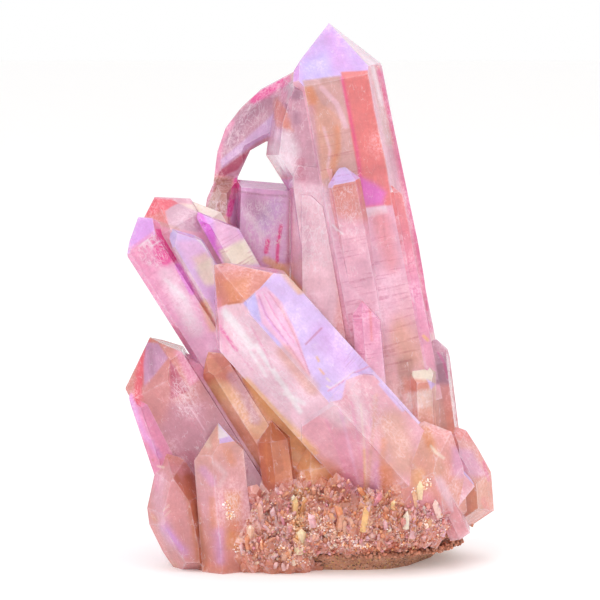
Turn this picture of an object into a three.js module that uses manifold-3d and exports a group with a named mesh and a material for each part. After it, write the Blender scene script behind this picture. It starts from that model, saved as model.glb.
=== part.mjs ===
// A hand-size cluster of pink aura quartz. X is the width, Y the depth (front is -Y), Z is up; millimetres.
// Every crystal is a block trimmed by its flat faces: six prism faces and six pyramid faces, as quartz grows.
// The crystals have grown together, so they are one solid; the rind of host rock under them is the other.

import * as THREE from "three";
import { mergeVertices } from "three/addons/utils/BufferGeometryUtils.js";
import Module from "manifold-3d";

const wasm = await Module();
wasm.setup();

// ---- the driving sizes ----
const PYRAMID_LEAN = 51.8;      // degrees from a crystal's long axis to the normal of a pyramid face
const STOCK = 400;              // the side of the block each crystal is trimmed from
const ROCK_GAP = 0.3;           // between the quartz and the host rock
const FLOOR = 0;                // the height of the face the cluster rests on

const radians = THREE.MathUtils.degToRad;
const vector = (numbers) => new THREE.Vector3(...numbers);

// ---- solids ----
function solidOf(geometry) {
  const bare = geometry.clone();
  bare.deleteAttribute("normal");
  bare.deleteAttribute("uv");
  const merged = mergeVertices(bare, 1e-4);
  return new wasm.Manifold(new wasm.Mesh({
    numProp: 3,
    vertProperties: new Float32Array(merged.attributes.position.array),
    triVerts: new Uint32Array(merged.index.array),
  }));
}

function meshOf(name, solid, look) {
  const { numProp, numVert, vertProperties, triVerts } = solid.getMesh();
  const positions = new Float32Array(numVert * 3);
  for (let i = 0; i < numVert; i++) {
    positions.set(vertProperties.subarray(i * numProp, i * numProp + 3), i * 3);
  }
  const geometry = new THREE.BufferGeometry();
  geometry.setAttribute("position", new THREE.BufferAttribute(positions, 3));
  geometry.setIndex(new THREE.BufferAttribute(new Uint32Array(triVerts), 1));
  geometry.computeVertexNormals();
  const mesh = new THREE.Mesh(geometry, new THREE.MeshStandardMaterial(look));
  mesh.name = name;
  return mesh;
}

const stock = solidOf(new THREE.BoxGeometry(STOCK, STOCK, STOCK));

// The solid behind every plane of a list; `grow` moves each plane outwards.
function carve(planes, grow = 0) {
  return planes.reduce((solid, { normal, point }) => {
    const n = normal.clone().normalize();
    return solid.trimByPlane([-n.x, -n.y, -n.z], -n.dot(point) - grow);
  }, stock);
}

// One quartz crystal from `foot` to `tip`. Seen from the front, side 0 faces forward turned `roll`
// degrees to the right, and the other five follow it at 60 degrees. `sides` are the distances of the
// prism faces from the axis, `caps` how far each pyramid face stands off the tip, `taper` in degrees.
function crystal({ tip, foot, roll = 0, sides, caps = [0, 0, 0, 0, 0, 0], taper = 0.5 }) {
  const top = vector(tip);
  const base = vector(foot);
  const axis = top.clone().sub(base).normalize();
  const front = new THREE.Vector3(0, -1, 0).addScaledVector(axis, axis.y).normalize();
  const right = axis.clone().cross(front);
  const lean = radians(PYRAMID_LEAN);
  const tilt = radians(taper);
  const planes = [{ normal: axis.clone().negate(), point: base }];
  for (let k = 0; k < 6; k++) {
    const turn = radians(roll + 60 * k);
    const out = front.clone().multiplyScalar(Math.cos(turn)).addScaledVector(right, Math.sin(turn));
    planes.push({
      normal: out.clone().multiplyScalar(Math.cos(tilt)).addScaledVector(axis, Math.sin(tilt)),
      point: top.clone().addScaledVector(out, sides[k]),
    });
    planes.push({
      normal: out.clone().multiplyScalar(Math.sin(lean)).addScaledVector(axis, Math.cos(lean)),
      point: top.clone().addScaledVector(axis, caps[k]),
    });
  }
  return carve(planes);
}

// The planes of a flat-lying crystal drawn by its rim, corners in order. `across` and `up` are the
// directions the corners are measured in and `at` is their zero. The rim is bevelled by `bevels`
// degrees to the face and to the back, which stand `near` and `far` off it; a list has one for each edge.
function tablet({ rim, at = [0, 0, 0], across = [1, 0, 0], up = [0, 0, 1], near, far, bevels }) {
  const [u, v] = [vector(across).normalize(), vector(up).normalize()];
  const face = u.clone().cross(v);
  const zero = vector(at);
  const corners = rim.map(([a, b]) => zero.clone().addScaledVector(u, a).addScaledVector(v, b));
  const middle = corners.reduce((sum, c) => sum.add(c), new THREE.Vector3()).divideScalar(rim.length);
  const planes = [
    { normal: face, point: middle.clone().addScaledVector(face, near) },
    { normal: face.clone().negate(), point: middle.clone().addScaledVector(face, -far) },
  ];
  corners.forEach((corner, i) => {
    const along = corners[(i + 1) % corners.length].clone().sub(corner);
    const out = along.cross(face).normalize();
    if (out.dot(corner.clone().sub(middle)) < 0) out.negate();
    [1, -1].forEach((side, j) => {
      const bevel = radians(Array.isArray(bevels[j]) ? bevels[j][i] : bevels[j]);
      const normal = out.clone().multiplyScalar(Math.cos(bevel));
      planes.push({ normal: normal.addScaledVector(face, side * Math.sin(bevel)), point: corner });
    });
  });
  return planes;
}

// A slab standing across the depth, drawn by its outline in X and Z and chamfered all round.
function slab({ outline, y, half, chamfer, facets }) {
  const shape = new THREE.Shape(outline.map(([x, z]) => new THREE.Vector2(x, z)));
  const geometry = new THREE.ExtrudeGeometry(shape, {
    depth: 2 * (half - chamfer),
    bevelThickness: chamfer,
    bevelSize: chamfer,
    bevelOffset: -chamfer,
    bevelSegments: 1,
  });
  geometry.rotateX(Math.PI / 2).translate(0, y + half - chamfer, 0);
  return facets.reduce((solid, { normal, point }) => {
    const n = normal.clone().normalize();
    return solid.trimByPlane([-n.x, -n.y, -n.z], -n.dot(point));
  }, solidOf(geometry));
}

// ---- the crystals, named by where they stand ----
const EVEN = [0, 0, 0, 0, 0, 0];
const CRYSTALS = {
  // the tall one and the small ones grown along it
  main: { tip: [3.8, 6, 107.7], foot: [22.3, 5, 11], roll: 13,
    sides: [8.8, 7.6, 8.2, 8.8, 6.2, 12.6], caps: [0, 0, 0, 1, 0, 6.1], taper: 0.45 },
  frontSmall: { tip: [6.3, -4.6, 79.4], foot: [17.4, 0.5, 18.8], roll: 4,
    sides: [2.2, 2.8, 2.6, 2.6, 2.6, 3.5], caps: [0, 0.9, 0.6, 0, 0.6, 1.2], taper: 0.5 },
  rightSmall: { tip: [15.9, -1.2, 75.9], foot: [24.0, -1.2, 32.5], roll: -20,
    sides: [1.2, 1.4, 2, 2, 2, 1.2], caps: EVEN, taper: 0.6 },
  ridgeSmall: { tip: [10.3, -6, 53.2], foot: [13.3, -6, 19.3], roll: 24,
    sides: [2.6, 3.2, 2, 2, 2, 2.6], caps: EVEN, taper: 0.5 },
  // the thick one lying across the front, and the later growth round its foot
  slant: { tip: [-18.8, -12, 60.0], foot: [25.0, -4, 9.9], roll: 33,
    sides: [6.8, 9.8, 7.5, 7.5, 9.8, 7.3], caps: [0.8, 2.5, 1, 1, 0, 0], taper: 0.3 },
  slantFoot: { tip: [-2.9, -9.35, 41.7], foot: [25.0, -4, 9.9], roll: 33,
    sides: [7.9, 9.4, 7.5, 7.5, 9.6, 7.7], caps: [0, 0, 1, 1, 0, 0], taper: 0.5 },
  // the upper left bundle
  upperMain: { tip: [-31, 1, 73.2], foot: [4.2, 0, 12.0], roll: 30,
    sides: [5.5, 6, 6, 6, 6, 5.5], caps: [0, 4, 0, 0, 5, 0], taper: 0.3 },
  upperLeft: { tip: [-34.1, -3, 69.5], foot: [3.6, -1, 9.6], roll: 5,
    sides: [3.5, 2.6, 3.4, 4, 4.2, 6.2], caps: [0, 3, 0, 1, 0, 3], taper: 0.2 },
  upperMiddle: { tip: [-27.1, -4.5, 67.4], foot: [5.5, -2, 11.0], roll: 20,
    sides: [2.4, 3.8, 2.4, 3, 1.4, 3.2], caps: [2.6, 0, 0, 0, 0.5, 1], taper: 0.3 },
  upperRight: { tip: [-22.3, -1.5, 70.4], foot: [12.1, -1, 9.2], roll: 30,
    sides: [3.4, 5.4, 3, 3, 0.7, 2.4], caps: [1.2, 0, 0, 0, 0, 1.2], taper: 0.3 },
  upperBack: { tip: [-24.2, 4, 72.3], foot: [8.1, 4, 15.4], roll: 40,
    sides: [4, 4, 4, 4, 4, 4], caps: EVEN, taper: 0.3 },
  // the lower left bundle
  lowerMain: { tip: [-31.8, -5, 45.7], foot: [-4.0, -4, 0.6], roll: 30,
    sides: [5.8, 4.2, 6, 6, 9.6, 6.6], caps: [2, 0, 2, 0, 6, 0], taper: 0.3 },
  lowerSide: { tip: [-35.3, -6, 35.6], foot: [-24, -6, 2], roll: 30,
    sides: [3, 5, 4, 4, 1.2, 2.4], caps: EVEN, taper: 0.3 },
  lowerSecond: { tip: [-20.2, -6, 42.9], foot: [4.0, -5, 3.8], roll: 10,
    sides: [3.2, 3.4, 3, 3, 3, 3.2], caps: [0, 1.4, 0, 0, 0, 1], taper: 0.3 },
  lowerBack: { tip: [-26.4, -3.6, 42.8], foot: [-2.0, -3.6, 3.0], roll: 10,
    sides: [3, 3.4, 3, 3, 3, 3], caps: EVEN, taper: 0.3 },
  lowerFront: { tip: [-18.1, -11, 29.4], foot: [-15.5, -11, -0.9], roll: 30,
    sides: [2.8, 4.4, 4, 4, 5.2, 4.4], caps: EVEN, taper: 1.0 },
  // the darker ones in the recess
  recessBand: { tip: [-17.4, -4.5, 43.2], foot: [5.0, -4.5, 8.7], roll: 20,
    sides: [3.4, 5, 3, 3, 3.6, 3.4], caps: [0, 1, 0, 0, 0, 0], taper: 0.3 },
  recessDark: { tip: [-7.7, -8, 29.5], foot: [-4.0, -8, 1.4], roll: 20,
    sides: [3, 3, 3, 3, 3, 3], caps: EVEN, taper: 0.5 },
  recessGold: { tip: [0.4, -7, 25.4], foot: [4.0, -7, 1.2], roll: 15,
    sides: [4, 4, 3, 3, 4, 4], caps: EVEN, taper: 1 },
  // the short ones at the right
  rightTall: { tip: [24.7, 3, 44.2], foot: [28.4, 3, 12], roll: 20,
    sides: [3.4, 2.6, 4, 4, 4, 4], caps: [0, 1, 1, 0, 0, 0], taper: 0.8 },
  rightBehind: { tip: [23.1, 6, 45.2], foot: [26.5, 6, 6.9], roll: 0,
    sides: [4, 2.6, 2.6, 4, 4, 4], caps: EVEN, taper: 0.5 },
  rightFront: { tip: [21.9, -1.5, 41], foot: [23.4, -1.5, 8.0], roll: 10,
    sides: [3.4, 3, 3, 3, 3, 3], caps: [0, 1, 0, 1, 0, 1], taper: 0.8 },
  rightInner: { tip: [19.1, 1, 40.8], foot: [20.2, 1, 7.8], roll: -15,
    sides: [3, 3, 3, 3, 3, 3], caps: EVEN, taper: 0.5 },
  rightLow: { tip: [24.2, -12, 18.2], foot: [29.8, -9, 6.8], roll: 20,
    sides: [2, 2, 2, 2, 2, 2], caps: EVEN, taper: 0.5 },
  // the back
  backTall: { tip: [12, 17, 84], foot: [17, 12, 2], roll: -15,
    sides: [5, 5, 6, 6.5, 6, 5], caps: [0, 1.5, 0, 1.5, 0, 1.5], taper: 0.6 },
  backStep: { tip: [5, 16, 63], foot: [10, 13, 2], roll: 10,
    sides: [4, 4, 4.4, 5, 4.4, 4], caps: [0, 0, 1, 0, 1, 0], taper: 0.6 },
  backLeft: { tip: [-12, 18, 57], foot: [2, 10, 2], roll: 20,
    sides: [5, 5, 5, 5.6, 5, 5], caps: [0, 2, 0, 2, 0, 2], taper: 0.5 },
  backLow: { tip: [-22, 16, 39], foot: [-4, 8, 2], roll: 5,
    sides: [4.5, 4.5, 5, 5, 4.5, 4.5], caps: [1, 0, 1, 0, 1, 0], taper: 0.6 },
  backRight: { tip: [24, 18, 37], foot: [18, 8, 2], roll: 25,
    sides: [4, 4, 4, 4.6, 4, 4], caps: EVEN, taper: 0.6 },
  backMiddle: { tip: [3, 25, 33], foot: [8, 10, 2], roll: 0,
    sides: [4, 4.4, 4, 4.4, 4, 4.4], caps: [0, 1, 0, 1, 0, 1], taper: 0.6 },
};

const TABLETS = {
  archStump: { rim: [[-19.2, 76], [-20.8, 72.4], [-21.6, 66], [-14, 60], [-14.6, 76]],
    at: [0, 8, 0], near: 5.4, far: 4, bevels: [22, 30] },
  backBlock: { rim: [[-14.8, 76.2], [-15.5, 55], [-3, 50], [-3, 75.2]],
    at: [0, 8, 0], near: 5, far: 5, bevels: [12, 15] },
  mainLeft: { rim: [[-3.6, 97.7], [-5.2, 96.5], [-6.8, 92.7], [-7.9, 88.7], [-8.8, 81.3],
    [-4.4, 74.3], [5.6, 72.3], [3.2, 88], [0.4, 96.6]],
    at: [0, 5, 0], near: 9.6, far: 5, bevels: [15, 30] },
  mainRight: { rim: [[11.6, 99.6], [14.2, 99.2], [15.7, 92.2], [17.9, 83.3], [19.7, 75.3],
    [21.4, 66], [23, 57], [24.4, 47], [24.6, 40], [18, 40], [12, 92]],
    at: [0, 6, 0], near: 4, far: 4, bevels: [40, 40] },
  mainFoot: { rim: [[-4.0, 75.3], [-2.0, 76.4], [1.2, 76.0], [4.6, 72.9], [8.2, 52.9], [12.4, 26.8],
    [-3.6, 26.8]], at: [0, 1, 0], near: 6.4, far: 8, bevels: [20, 30] },
  mainWaist: { rim: [[-4.3, 75.2], [-2, 58], [6, 58], [5.4, 80], [-3, 81], [-4.4, 78]],
    at: [0, 1, 0], near: 5.9, far: 6, bevels: [10, 30] },
  corner: { rim: [[-28.6, 22.9], [-30.8, 19.1], [-32.4, 11.9], [-32, 8.6], [-29.3, 3.0],
    [-26.3, -1.5], [-18, -1.5], [-18.5, 5.4], [-20.5, 15.5], [-24.8, 21.8]],
    at: [0, -8, 0], near: 6, far: 10, bevels: [30, 30] },
  lump: { rim: [[28.6, 27.0], [31.5, 26.0], [33.9, 22.3], [36.6, 17.4], [37.2, 9.6], [32.8, 6.6],
    [24.3, 3.5], [21.2, 15.8]], at: [0, 2, 0], near: 8, far: 9, bevels: [24, 34] },
  foreRight: { rim: [[15.4, 25.7], [7.9, 16.2], [6.9, 6.2], [25.7, 5.5], [31.2, 11.2], [30.4, 20.2],
    [28, 27.2], [22.6, 29.3]], at: [0, -8, 0], near: 7.4, far: 8,
    bevels: [[52, 40, 25, 32, 34, 38, 44, 50], 30] },
  base: { rim: [[-27, -6], [-21, -12.4], [-12.5, -14.6], [-4, -16], [5, -16.4], [14, -16], [24, -13],
    [30, -3], [29, 11], [21, 20], [2, 23], [-18, 19], [-27, 9]],
    at: [0, 0, 6], across: [1, 0, 0], up: [0, 1, 0],
    near: 12, far: 6, bevels: [28, [40, 20, 20, 45, 45, 50, 60, 60, 50, 30, 30, 40, 40]] },
  baseLeft: { rim: [[-28, -6], [-22, -12.8], [-14, -14.4], [-8, -15.2], [-2, -15.4], [5, -10], [5, 16],
    [-17, 18], [-27, 8]],
    at: [0, 0, 3], across: [1, 0, 0], up: [0, 1, 0], near: 8, far: 3, bevels: [20, 20] },
  baseRight: { rim: [[-4, -14.5], [4, -17], [18, -17.4], [26, -13], [30, -4], [20, 4], [-4, 4]],
    at: [0, 0, 10], across: [1, 0, 0], up: [0, 1, 0], near: 7, far: 7, bevels: [42, 36] },
};

// The crystal that bends over from the tall one: its outline, chamfered, with two facets cut across it.
const ARCH = {
  outline: [[-2, 98.5], [-9.8, 94.4], [-14, 90.5], [-17, 86.6], [-18.6, 82], [-19.2, 77.5], [-19.9, 71],
    [-15.2, 71], [-14.6, 76.6], [-12, 82.2], [-8.8, 84], [-2, 84]],
  y: 9, half: 4.6, chamfer: 1.5,
  facets: [
    { normal: new THREE.Vector3(-0.42, -0.78, 0.46), point: new THREE.Vector3(-13.2, 4.4, 90) },
    { normal: new THREE.Vector3(0.3, -0.86, -0.42), point: new THREE.Vector3(-13.2, 4.6, 82) },
    { normal: new THREE.Vector3(-0.4, 0.8, 0.45), point: new THREE.Vector3(-12, 13.2, 90) },
  ],
};

// The rind of host rock: its upper rim, and how each edge slopes in underneath.
const ROCK = { rim: [[-6, -12.8], [5, -14.2], [14, -14.2], [21, -12.4], [26, -8], [31, 1], [29, 11],
  [23, 18], [8, 21], [-8, 18], [-20, 8], [-16, -6]], at: [0, 0, 3.6], across: [1, 0, 0], up: [0, 1, 0],
  near: 0, far: 3.6, bevels: [30, [40, 40, 45, 55, 60, 60, 50, 30, 30, 40, 40, 40]] };

// ---- the druse: short crystals packed round the foot, pointing out and up ----
// Each row sits on one tablet, between two heights, set in from its slope by up to `inset`.
const DRUSE = [
  { on: "base", count: 76, low: 4, high: 9, inset: 0, width: [0.8, 1.7], reach: [1, 2.6], rise: 0.8 },
  { on: "base", count: 64, low: 9, high: 15, inset: 0, width: [0.8, 1.9], reach: [1.4, 3.8], rise: 1.6 },
  { on: "base", count: 12, low: 16, high: 17, inset: 3, width: [1.1, 2], reach: [1.6, 4], rise: 3 },
  { on: "baseRight", count: 46, low: 7.5, high: 11, inset: 0, width: [0.8, 1.6], reach: [1, 2.2], rise: 1 },
  { on: "baseRight", count: 56, low: 10, high: 17, inset: 0, width: [0.8, 1.9], reach: [1.4, 3.6], rise: 1.8 },
  { on: "baseRight", count: 8, low: 15, high: 16, inset: 3, width: [1.1, 2], reach: [1.6, 4], rise: 3 },
  { on: "baseLeft", count: 60, low: 0.8, high: 5, inset: 0, width: [0.7, 1.5], reach: [0.6, 1.4], rise: 1 },
];
const DRUSE_SEED = 11;
const DRUSE_ROOT = 3.4;         // how deep each of them reaches in
const SMOOTH_LEFT = -14;        // to the left of this X the front of the foot has none
const ROCK_SHOWS = { beyond: 2, lift: 4.2 };  // to the right of this X the druse starts higher

// A repeatable stream of numbers from 0 to 1.
function dice(seed) {
  let state = seed;
  return () => {
    state = (state * 16807) % 2147483647;
    return state / 2147483647;
  };
}

function druse() {
  const roll = dice(DRUSE_SEED);
  const between = (low, high) => low + (high - low) * roll();
  let crust = null;
  for (const { on, count, low, high, inset, width, reach, rise } of DRUSE) {
    const { rim, at, bevels: [above, below] } = TABLETS[on];
    for (let i = 0; i < count; i++) {
      const place = ((i + roll()) / count) * rim.length;
      const from = Math.floor(place) % rim.length;
      const share = place % 1;
      const [ax, ay] = rim[from];
      const [bx, by] = rim[(from + 1) % rim.length];
      const out = new THREE.Vector3(by - ay, ax - bx, 0).normalize();
      const seat = new THREE.Vector3(ax + (bx - ax) * share, ay + (by - ay) * share, 0);
      const lift = on === "base" && seat.x > ROCK_SHOWS.beyond ? ROCK_SHOWS.lift : 0;
      seat.z = between(Math.min(low + lift, high), high);
      const height = seat.z - at[2];
      const slope = height > 0 ? above : below[from] ?? below;
      seat.addScaledVector(out, -Math.tan(radians(slope)) * Math.abs(height) - inset * roll());
      const aim = out.clone().add(new THREE.Vector3(roll() - 0.5, roll() - 0.5, rise * (0.5 + roll())));
      aim.normalize();
      const length = between(...reach) * (1 - 0.6 * Math.abs(out.x));
      const girth = between(...width);
      if (out.y < 0 && seat.x < SMOOTH_LEFT) continue;
      const piece = crystal({
        tip: seat.clone().addScaledVector(aim, length).toArray(),
        foot: seat.clone().addScaledVector(aim, -DRUSE_ROOT).toArray(),
        roll: 60 * roll(),
        sides: EVEN.map(() => girth * between(0.8, 1.2)),
        caps: EVEN.map(() => roll()),
        taper: 1.5,
      });
      crust = crust ? crust.add(piece) : piece;
    }
  }
  return crust;
}

// ---- the two pieces ----
let quartz = carve(tablet(TABLETS.base)).add(druse()).add(slab(ARCH));
for (const spec of Object.values(CRYSTALS)) quartz = quartz.add(crystal(spec));
for (const spec of Object.values(TABLETS)) quartz = quartz.add(carve(tablet(spec)));
quartz = quartz.trimByPlane([0, 0, 1], FLOOR);
quartz = quartz.subtract(carve(tablet(ROCK), ROCK_GAP));
// Sealed pockets between the crystals are grown shut: only the outer surface is kept.
[quartz] = quartz.decompose().sort((a, b) => b.volume() - a.volume());

const QUARTZ_LOOK = { color: 0xeeb0bc, roughness: 0.08, metalness: 0, transparent: true, opacity: 0.6 };
const ROCK_LOOK = { color: 0xa8705c, roughness: 0.9, metalness: 0 };

const cluster = new THREE.Group();
cluster.add(meshOf("quartz_cluster", quartz, QUARTZ_LOOK));
cluster.add(meshOf("matrix_rind", carve(tablet(ROCK)), ROCK_LOOK));
export default cluster;
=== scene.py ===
"""The looks of a hand-size cluster of pink aura quartz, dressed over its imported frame.

Every crystal of the frame is found again by its twelve flat faces, so that each face can have its own tint,
growth lines and relief. Sizes are in millimetres until a mesh is made; MM turns them to metres.
"""

import math
from collections import namedtuple

import bmesh
import bpy
import numpy as np
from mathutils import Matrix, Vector, geometry, noise


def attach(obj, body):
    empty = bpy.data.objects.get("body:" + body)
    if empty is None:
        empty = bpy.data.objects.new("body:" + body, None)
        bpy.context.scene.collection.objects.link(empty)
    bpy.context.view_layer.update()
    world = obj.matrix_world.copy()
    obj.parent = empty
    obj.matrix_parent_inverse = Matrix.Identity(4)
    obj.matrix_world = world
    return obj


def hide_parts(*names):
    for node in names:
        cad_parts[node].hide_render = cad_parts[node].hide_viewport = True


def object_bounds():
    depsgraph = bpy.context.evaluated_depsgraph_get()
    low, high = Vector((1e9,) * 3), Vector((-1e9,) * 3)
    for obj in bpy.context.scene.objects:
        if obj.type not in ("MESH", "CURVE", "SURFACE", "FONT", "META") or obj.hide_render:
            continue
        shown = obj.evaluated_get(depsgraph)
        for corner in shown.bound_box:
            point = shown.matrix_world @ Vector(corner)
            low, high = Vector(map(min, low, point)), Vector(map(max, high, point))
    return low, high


MM = 0.001
PYRAMID_LEAN = math.radians(51.8)   # from a crystal's axis to the normal of a pyramid face
GRID = 0.7                          # spacing of the grid cut into the large faces at the front
BACK_GRID = 1.0                     # and into those that face away
FINER = 3                           # how many times finer it is along the edge of a crisp zone of colour
CLEAR_OF_EDGE = 0.45                # of the spacing, kept between the grid's points and a face's edges
SHARP_EDGE = math.radians(9)        # a sharper edge than this stays crisp
WELD = 1e-3                         # corners of a node's mesh that are closer than this are one
FLAT = math.radians(0.4)            # neighbours that meet at less than this are one flat face
TOUCHING = 1e-5                     # points of a filled face that are closer than this are one
SAME_PLANE = 0.02                   # how far a face may be off a crystal's plane and still be on it
TURNED = 20                         # what a normal at right angles to the plane's would add to that
NEVER_ZERO = 1e-12                  # stands in for a length of nothing, to divide by
BOX_MARGIN = 0.05                   # how far the small crystals stay inside the frame's box
SEED = 7

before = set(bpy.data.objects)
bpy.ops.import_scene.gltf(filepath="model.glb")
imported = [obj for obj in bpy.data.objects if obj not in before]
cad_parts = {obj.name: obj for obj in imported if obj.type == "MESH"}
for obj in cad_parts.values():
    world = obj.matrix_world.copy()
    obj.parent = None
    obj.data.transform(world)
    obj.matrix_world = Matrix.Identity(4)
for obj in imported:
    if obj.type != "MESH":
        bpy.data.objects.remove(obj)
cad_low, cad_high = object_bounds()

# ---- the crystals, as they stand in the frame ----
# Side 0 faces the front, turned `roll` degrees to the right. `sides` are the distances of the six prism faces
# from the axis at the tip, `caps` how far beyond the tip each pyramid face meets the axis, and `taper` the
# degrees by which the prism narrows towards the tip.
Crystal = namedtuple("Crystal", "tip foot roll sides caps taper")
POINTED = (0,) * 6                  # the caps of a crystal whose pyramid faces all meet at the tip
CRYSTALS = {name: Crystal(*spec) for name, spec in {
    "main": ((3.8, 6, 107.7), (22.3, 5, 11), 13, (8.8, 7.6, 8.2, 8.8, 6.2, 12.6),
             (0, 0, 0, 1, 0, 6.1), 0.45),
    "frontSmall": ((6.3, -4.6, 79.4), (17.4, 0.5, 18.8), 4, (2.2, 2.8, 2.6, 2.6, 2.6, 3.5),
                   (0, 0.9, 0.6, 0, 0.6, 1.2), 0.5),
    "rightSmall": ((15.9, -1.2, 75.9), (24, -1.2, 32.5), -20, (1.2, 1.4, 2, 2, 2, 1.2), POINTED, 0.6),
    "ridgeSmall": ((10.3, -6, 53.2), (13.3, -6, 19.3), 24, (2.6, 3.2, 2, 2, 2, 2.6), POINTED, 0.5),
    "slant": ((-18.8, -12, 60), (25, -4, 9.9), 33, (6.8, 9.8, 7.5, 7.5, 9.8, 7.3),
              (0.8, 2.5, 1, 1, 0, 0), 0.3),
    "slantFoot": ((-2.9, -9.35, 41.7), (25, -4, 9.9), 33, (7.9, 9.4, 7.5, 7.5, 9.6, 7.7),
                  (0, 0, 1, 1, 0, 0), 0.5),
    "upperMain": ((-31, 1, 73.2), (4.2, 0, 12), 30, (5.5, 6, 6, 6, 6, 5.5), (0, 4, 0, 0, 5, 0), 0.3),
    "upperLeft": ((-34.1, -3, 69.5), (3.6, -1, 9.6), 5, (3.5, 2.6, 3.4, 4, 4.2, 6.2),
                  (0, 3, 0, 1, 0, 3), 0.2),
    "upperMiddle": ((-27.1, -4.5, 67.4), (5.5, -2, 11), 20, (2.4, 3.8, 2.4, 3, 1.4, 3.2),
                    (2.6, 0, 0, 0, 0.5, 1), 0.3),
    "upperRight": ((-22.3, -1.5, 70.4), (12.1, -1, 9.2), 30, (3.4, 5.4, 3, 3, 0.7, 2.4),
                   (1.2, 0, 0, 0, 0, 1.2), 0.3),
    "upperBack": ((-24.2, 4, 72.3), (8.1, 4, 15.4), 40, (4,) * 6, POINTED, 0.3),
    "lowerMain": ((-31.8, -5, 45.7), (-4, -4, 0.6), 30, (5.8, 4.2, 6, 6, 9.6, 6.6), (2, 0, 2, 0, 6, 0), 0.3),
    "lowerSide": ((-35.3, -6, 35.6), (-24, -6, 2), 30, (3, 5, 4, 4, 1.2, 2.4), POINTED, 0.3),
    "lowerSecond": ((-20.2, -6, 42.9), (4, -5, 3.8), 10, (3.2, 3.4, 3, 3, 3, 3.2),
                    (0, 1.4, 0, 0, 0, 1), 0.3),
    "lowerBack": ((-26.4, -3.6, 42.8), (-2, -3.6, 3), 10, (3, 3.4, 3, 3, 3, 3), POINTED, 0.3),
    "lowerFront": ((-18.1, -11, 29.4), (-15.5, -11, -0.9), 30, (2.8, 4.4, 4, 4, 5.2, 4.4), POINTED, 1),
    "recessBand": ((-17.4, -4.5, 43.2), (5, -4.5, 8.7), 20, (3.4, 5, 3, 3, 3.6, 3.4),
                   (0, 1, 0, 0, 0, 0), 0.3),
    "recessDark": ((-7.7, -8, 29.5), (-4, -8, 1.4), 20, (3,) * 6, POINTED, 0.5),
    "recessGold": ((0.4, -7, 25.4), (4, -7, 1.2), 15, (4, 4, 3, 3, 4, 4), POINTED, 1),
    "rightTall": ((24.7, 3, 44.2), (28.4, 3, 12), 20, (3.4, 2.6, 4, 4, 4, 4), (0, 1, 1, 0, 0, 0), 0.8),
    "rightBehind": ((23.1, 6, 45.2), (26.5, 6, 6.9), 0, (4, 2.6, 2.6, 4, 4, 4), POINTED, 0.5),
    "rightFront": ((21.9, -1.5, 41), (23.4, -1.5, 8), 10, (3.4, 3, 3, 3, 3, 3), (0, 1, 0, 1, 0, 1), 0.8),
    "rightLow": ((24.2, -12, 18.2), (29.8, -9, 6.8), 20, (2,) * 6, POINTED, 0.5),
    "backTall": ((12, 17, 84), (17, 12, 2), -15, (5, 5, 6, 6.5, 6, 5), (0, 1.5, 0, 1.5, 0, 1.5), 0.6),
    "backStep": ((5, 16, 63), (10, 13, 2), 10, (4, 4, 4.4, 5, 4.4, 4), (0, 0, 1, 0, 1, 0), 0.6),
    "backLeft": ((-12, 18, 57), (2, 10, 2), 20, (5, 5, 5, 5.6, 5, 5), (0, 2, 0, 2, 0, 2), 0.5),
    "backLow": ((-22, 16, 39), (-4, 8, 2), 5, (4.5, 4.5, 5, 5, 4.5, 4.5), (1, 0, 1, 0, 1, 0), 0.6),
    "backRight": ((24, 18, 37), (18, 8, 2), 25, (4, 4, 4, 4.6, 4, 4), POINTED, 0.6),
    "backMiddle": ((3, 25, 33), (8, 10, 2), 0, (4, 4.4, 4, 4.4, 4, 4.4), (0, 1, 0, 1, 0, 1), 0.6),
}.items()}
NAMES = list(CRYSTALS)
FACES_EACH = 12                     # of a crystal: six prism faces and six pyramid faces


def unit(v):
    v = np.asarray(v, float)
    return v / np.linalg.norm(v)


def planes_of(spec):
    """A crystal's axis, and (kind, side, normal, point) of each of its faces: kind 0 prism, 1 pyramid."""
    top = np.array(spec.tip, float)
    axis = unit(top - np.array(spec.foot, float))
    front = unit(np.array((0.0, -1.0, 0.0)) + axis * axis[1])
    right = np.cross(axis, front)
    tilt = math.radians(spec.taper)
    found = []
    for k in range(6):
        turn = math.radians(spec.roll + 60 * k)
        out = front * math.cos(turn) + right * math.sin(turn)
        found.append((0, k, out * math.cos(tilt) + axis * math.sin(tilt), top + out * spec.sides[k]))
        found.append((1, k, out * math.sin(PYRAMID_LEAN) + axis * math.cos(PYRAMID_LEAN),
                      top + axis * spec.caps[k]))
    return axis, found


AXES = {}
PLANES = []                         # the faces of all crystals: (crystal, kind, side, normal, point)
for name, spec in CRYSTALS.items():
    AXES[name], found = planes_of(spec)
    PLANES += [(name, *face) for face in found]
PLANE_N = np.array([p[3] for p in PLANES])
PLANE_D = np.array([np.dot(p[3], p[4]) for p in PLANES])


def plane_at(centre, normal):
    """The crystal face that a face of the mesh lies on, or -1 where it is druse or a later growth."""
    off = np.abs(PLANE_N @ centre - PLANE_D) + TURNED * (1 - PLANE_N @ normal)
    best = int(off.argmin())
    return best if off[best] < SAME_PLANE else -1


def whole_faces(source):
    """A mesh in millimetres, its flat faces whole again: corners; loop, normal and centre of each face."""
    bm = bmesh.new()
    bm.from_mesh(source)
    bmesh.ops.scale(bm, vec=(1 / MM,) * 3, verts=bm.verts)
    bmesh.ops.remove_doubles(bm, verts=bm.verts, dist=WELD)
    bmesh.ops.dissolve_limit(bm, angle_limit=FLAT, verts=bm.verts, edges=bm.edges)
    bm.verts.index_update()
    corners = np.array([v.co for v in bm.verts])
    faces = [([v.index for v in f.verts], np.array(f.normal), np.array(f.calc_center_median()))
             for f in bm.faces]
    bm.free()
    return corners, faces


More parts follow.
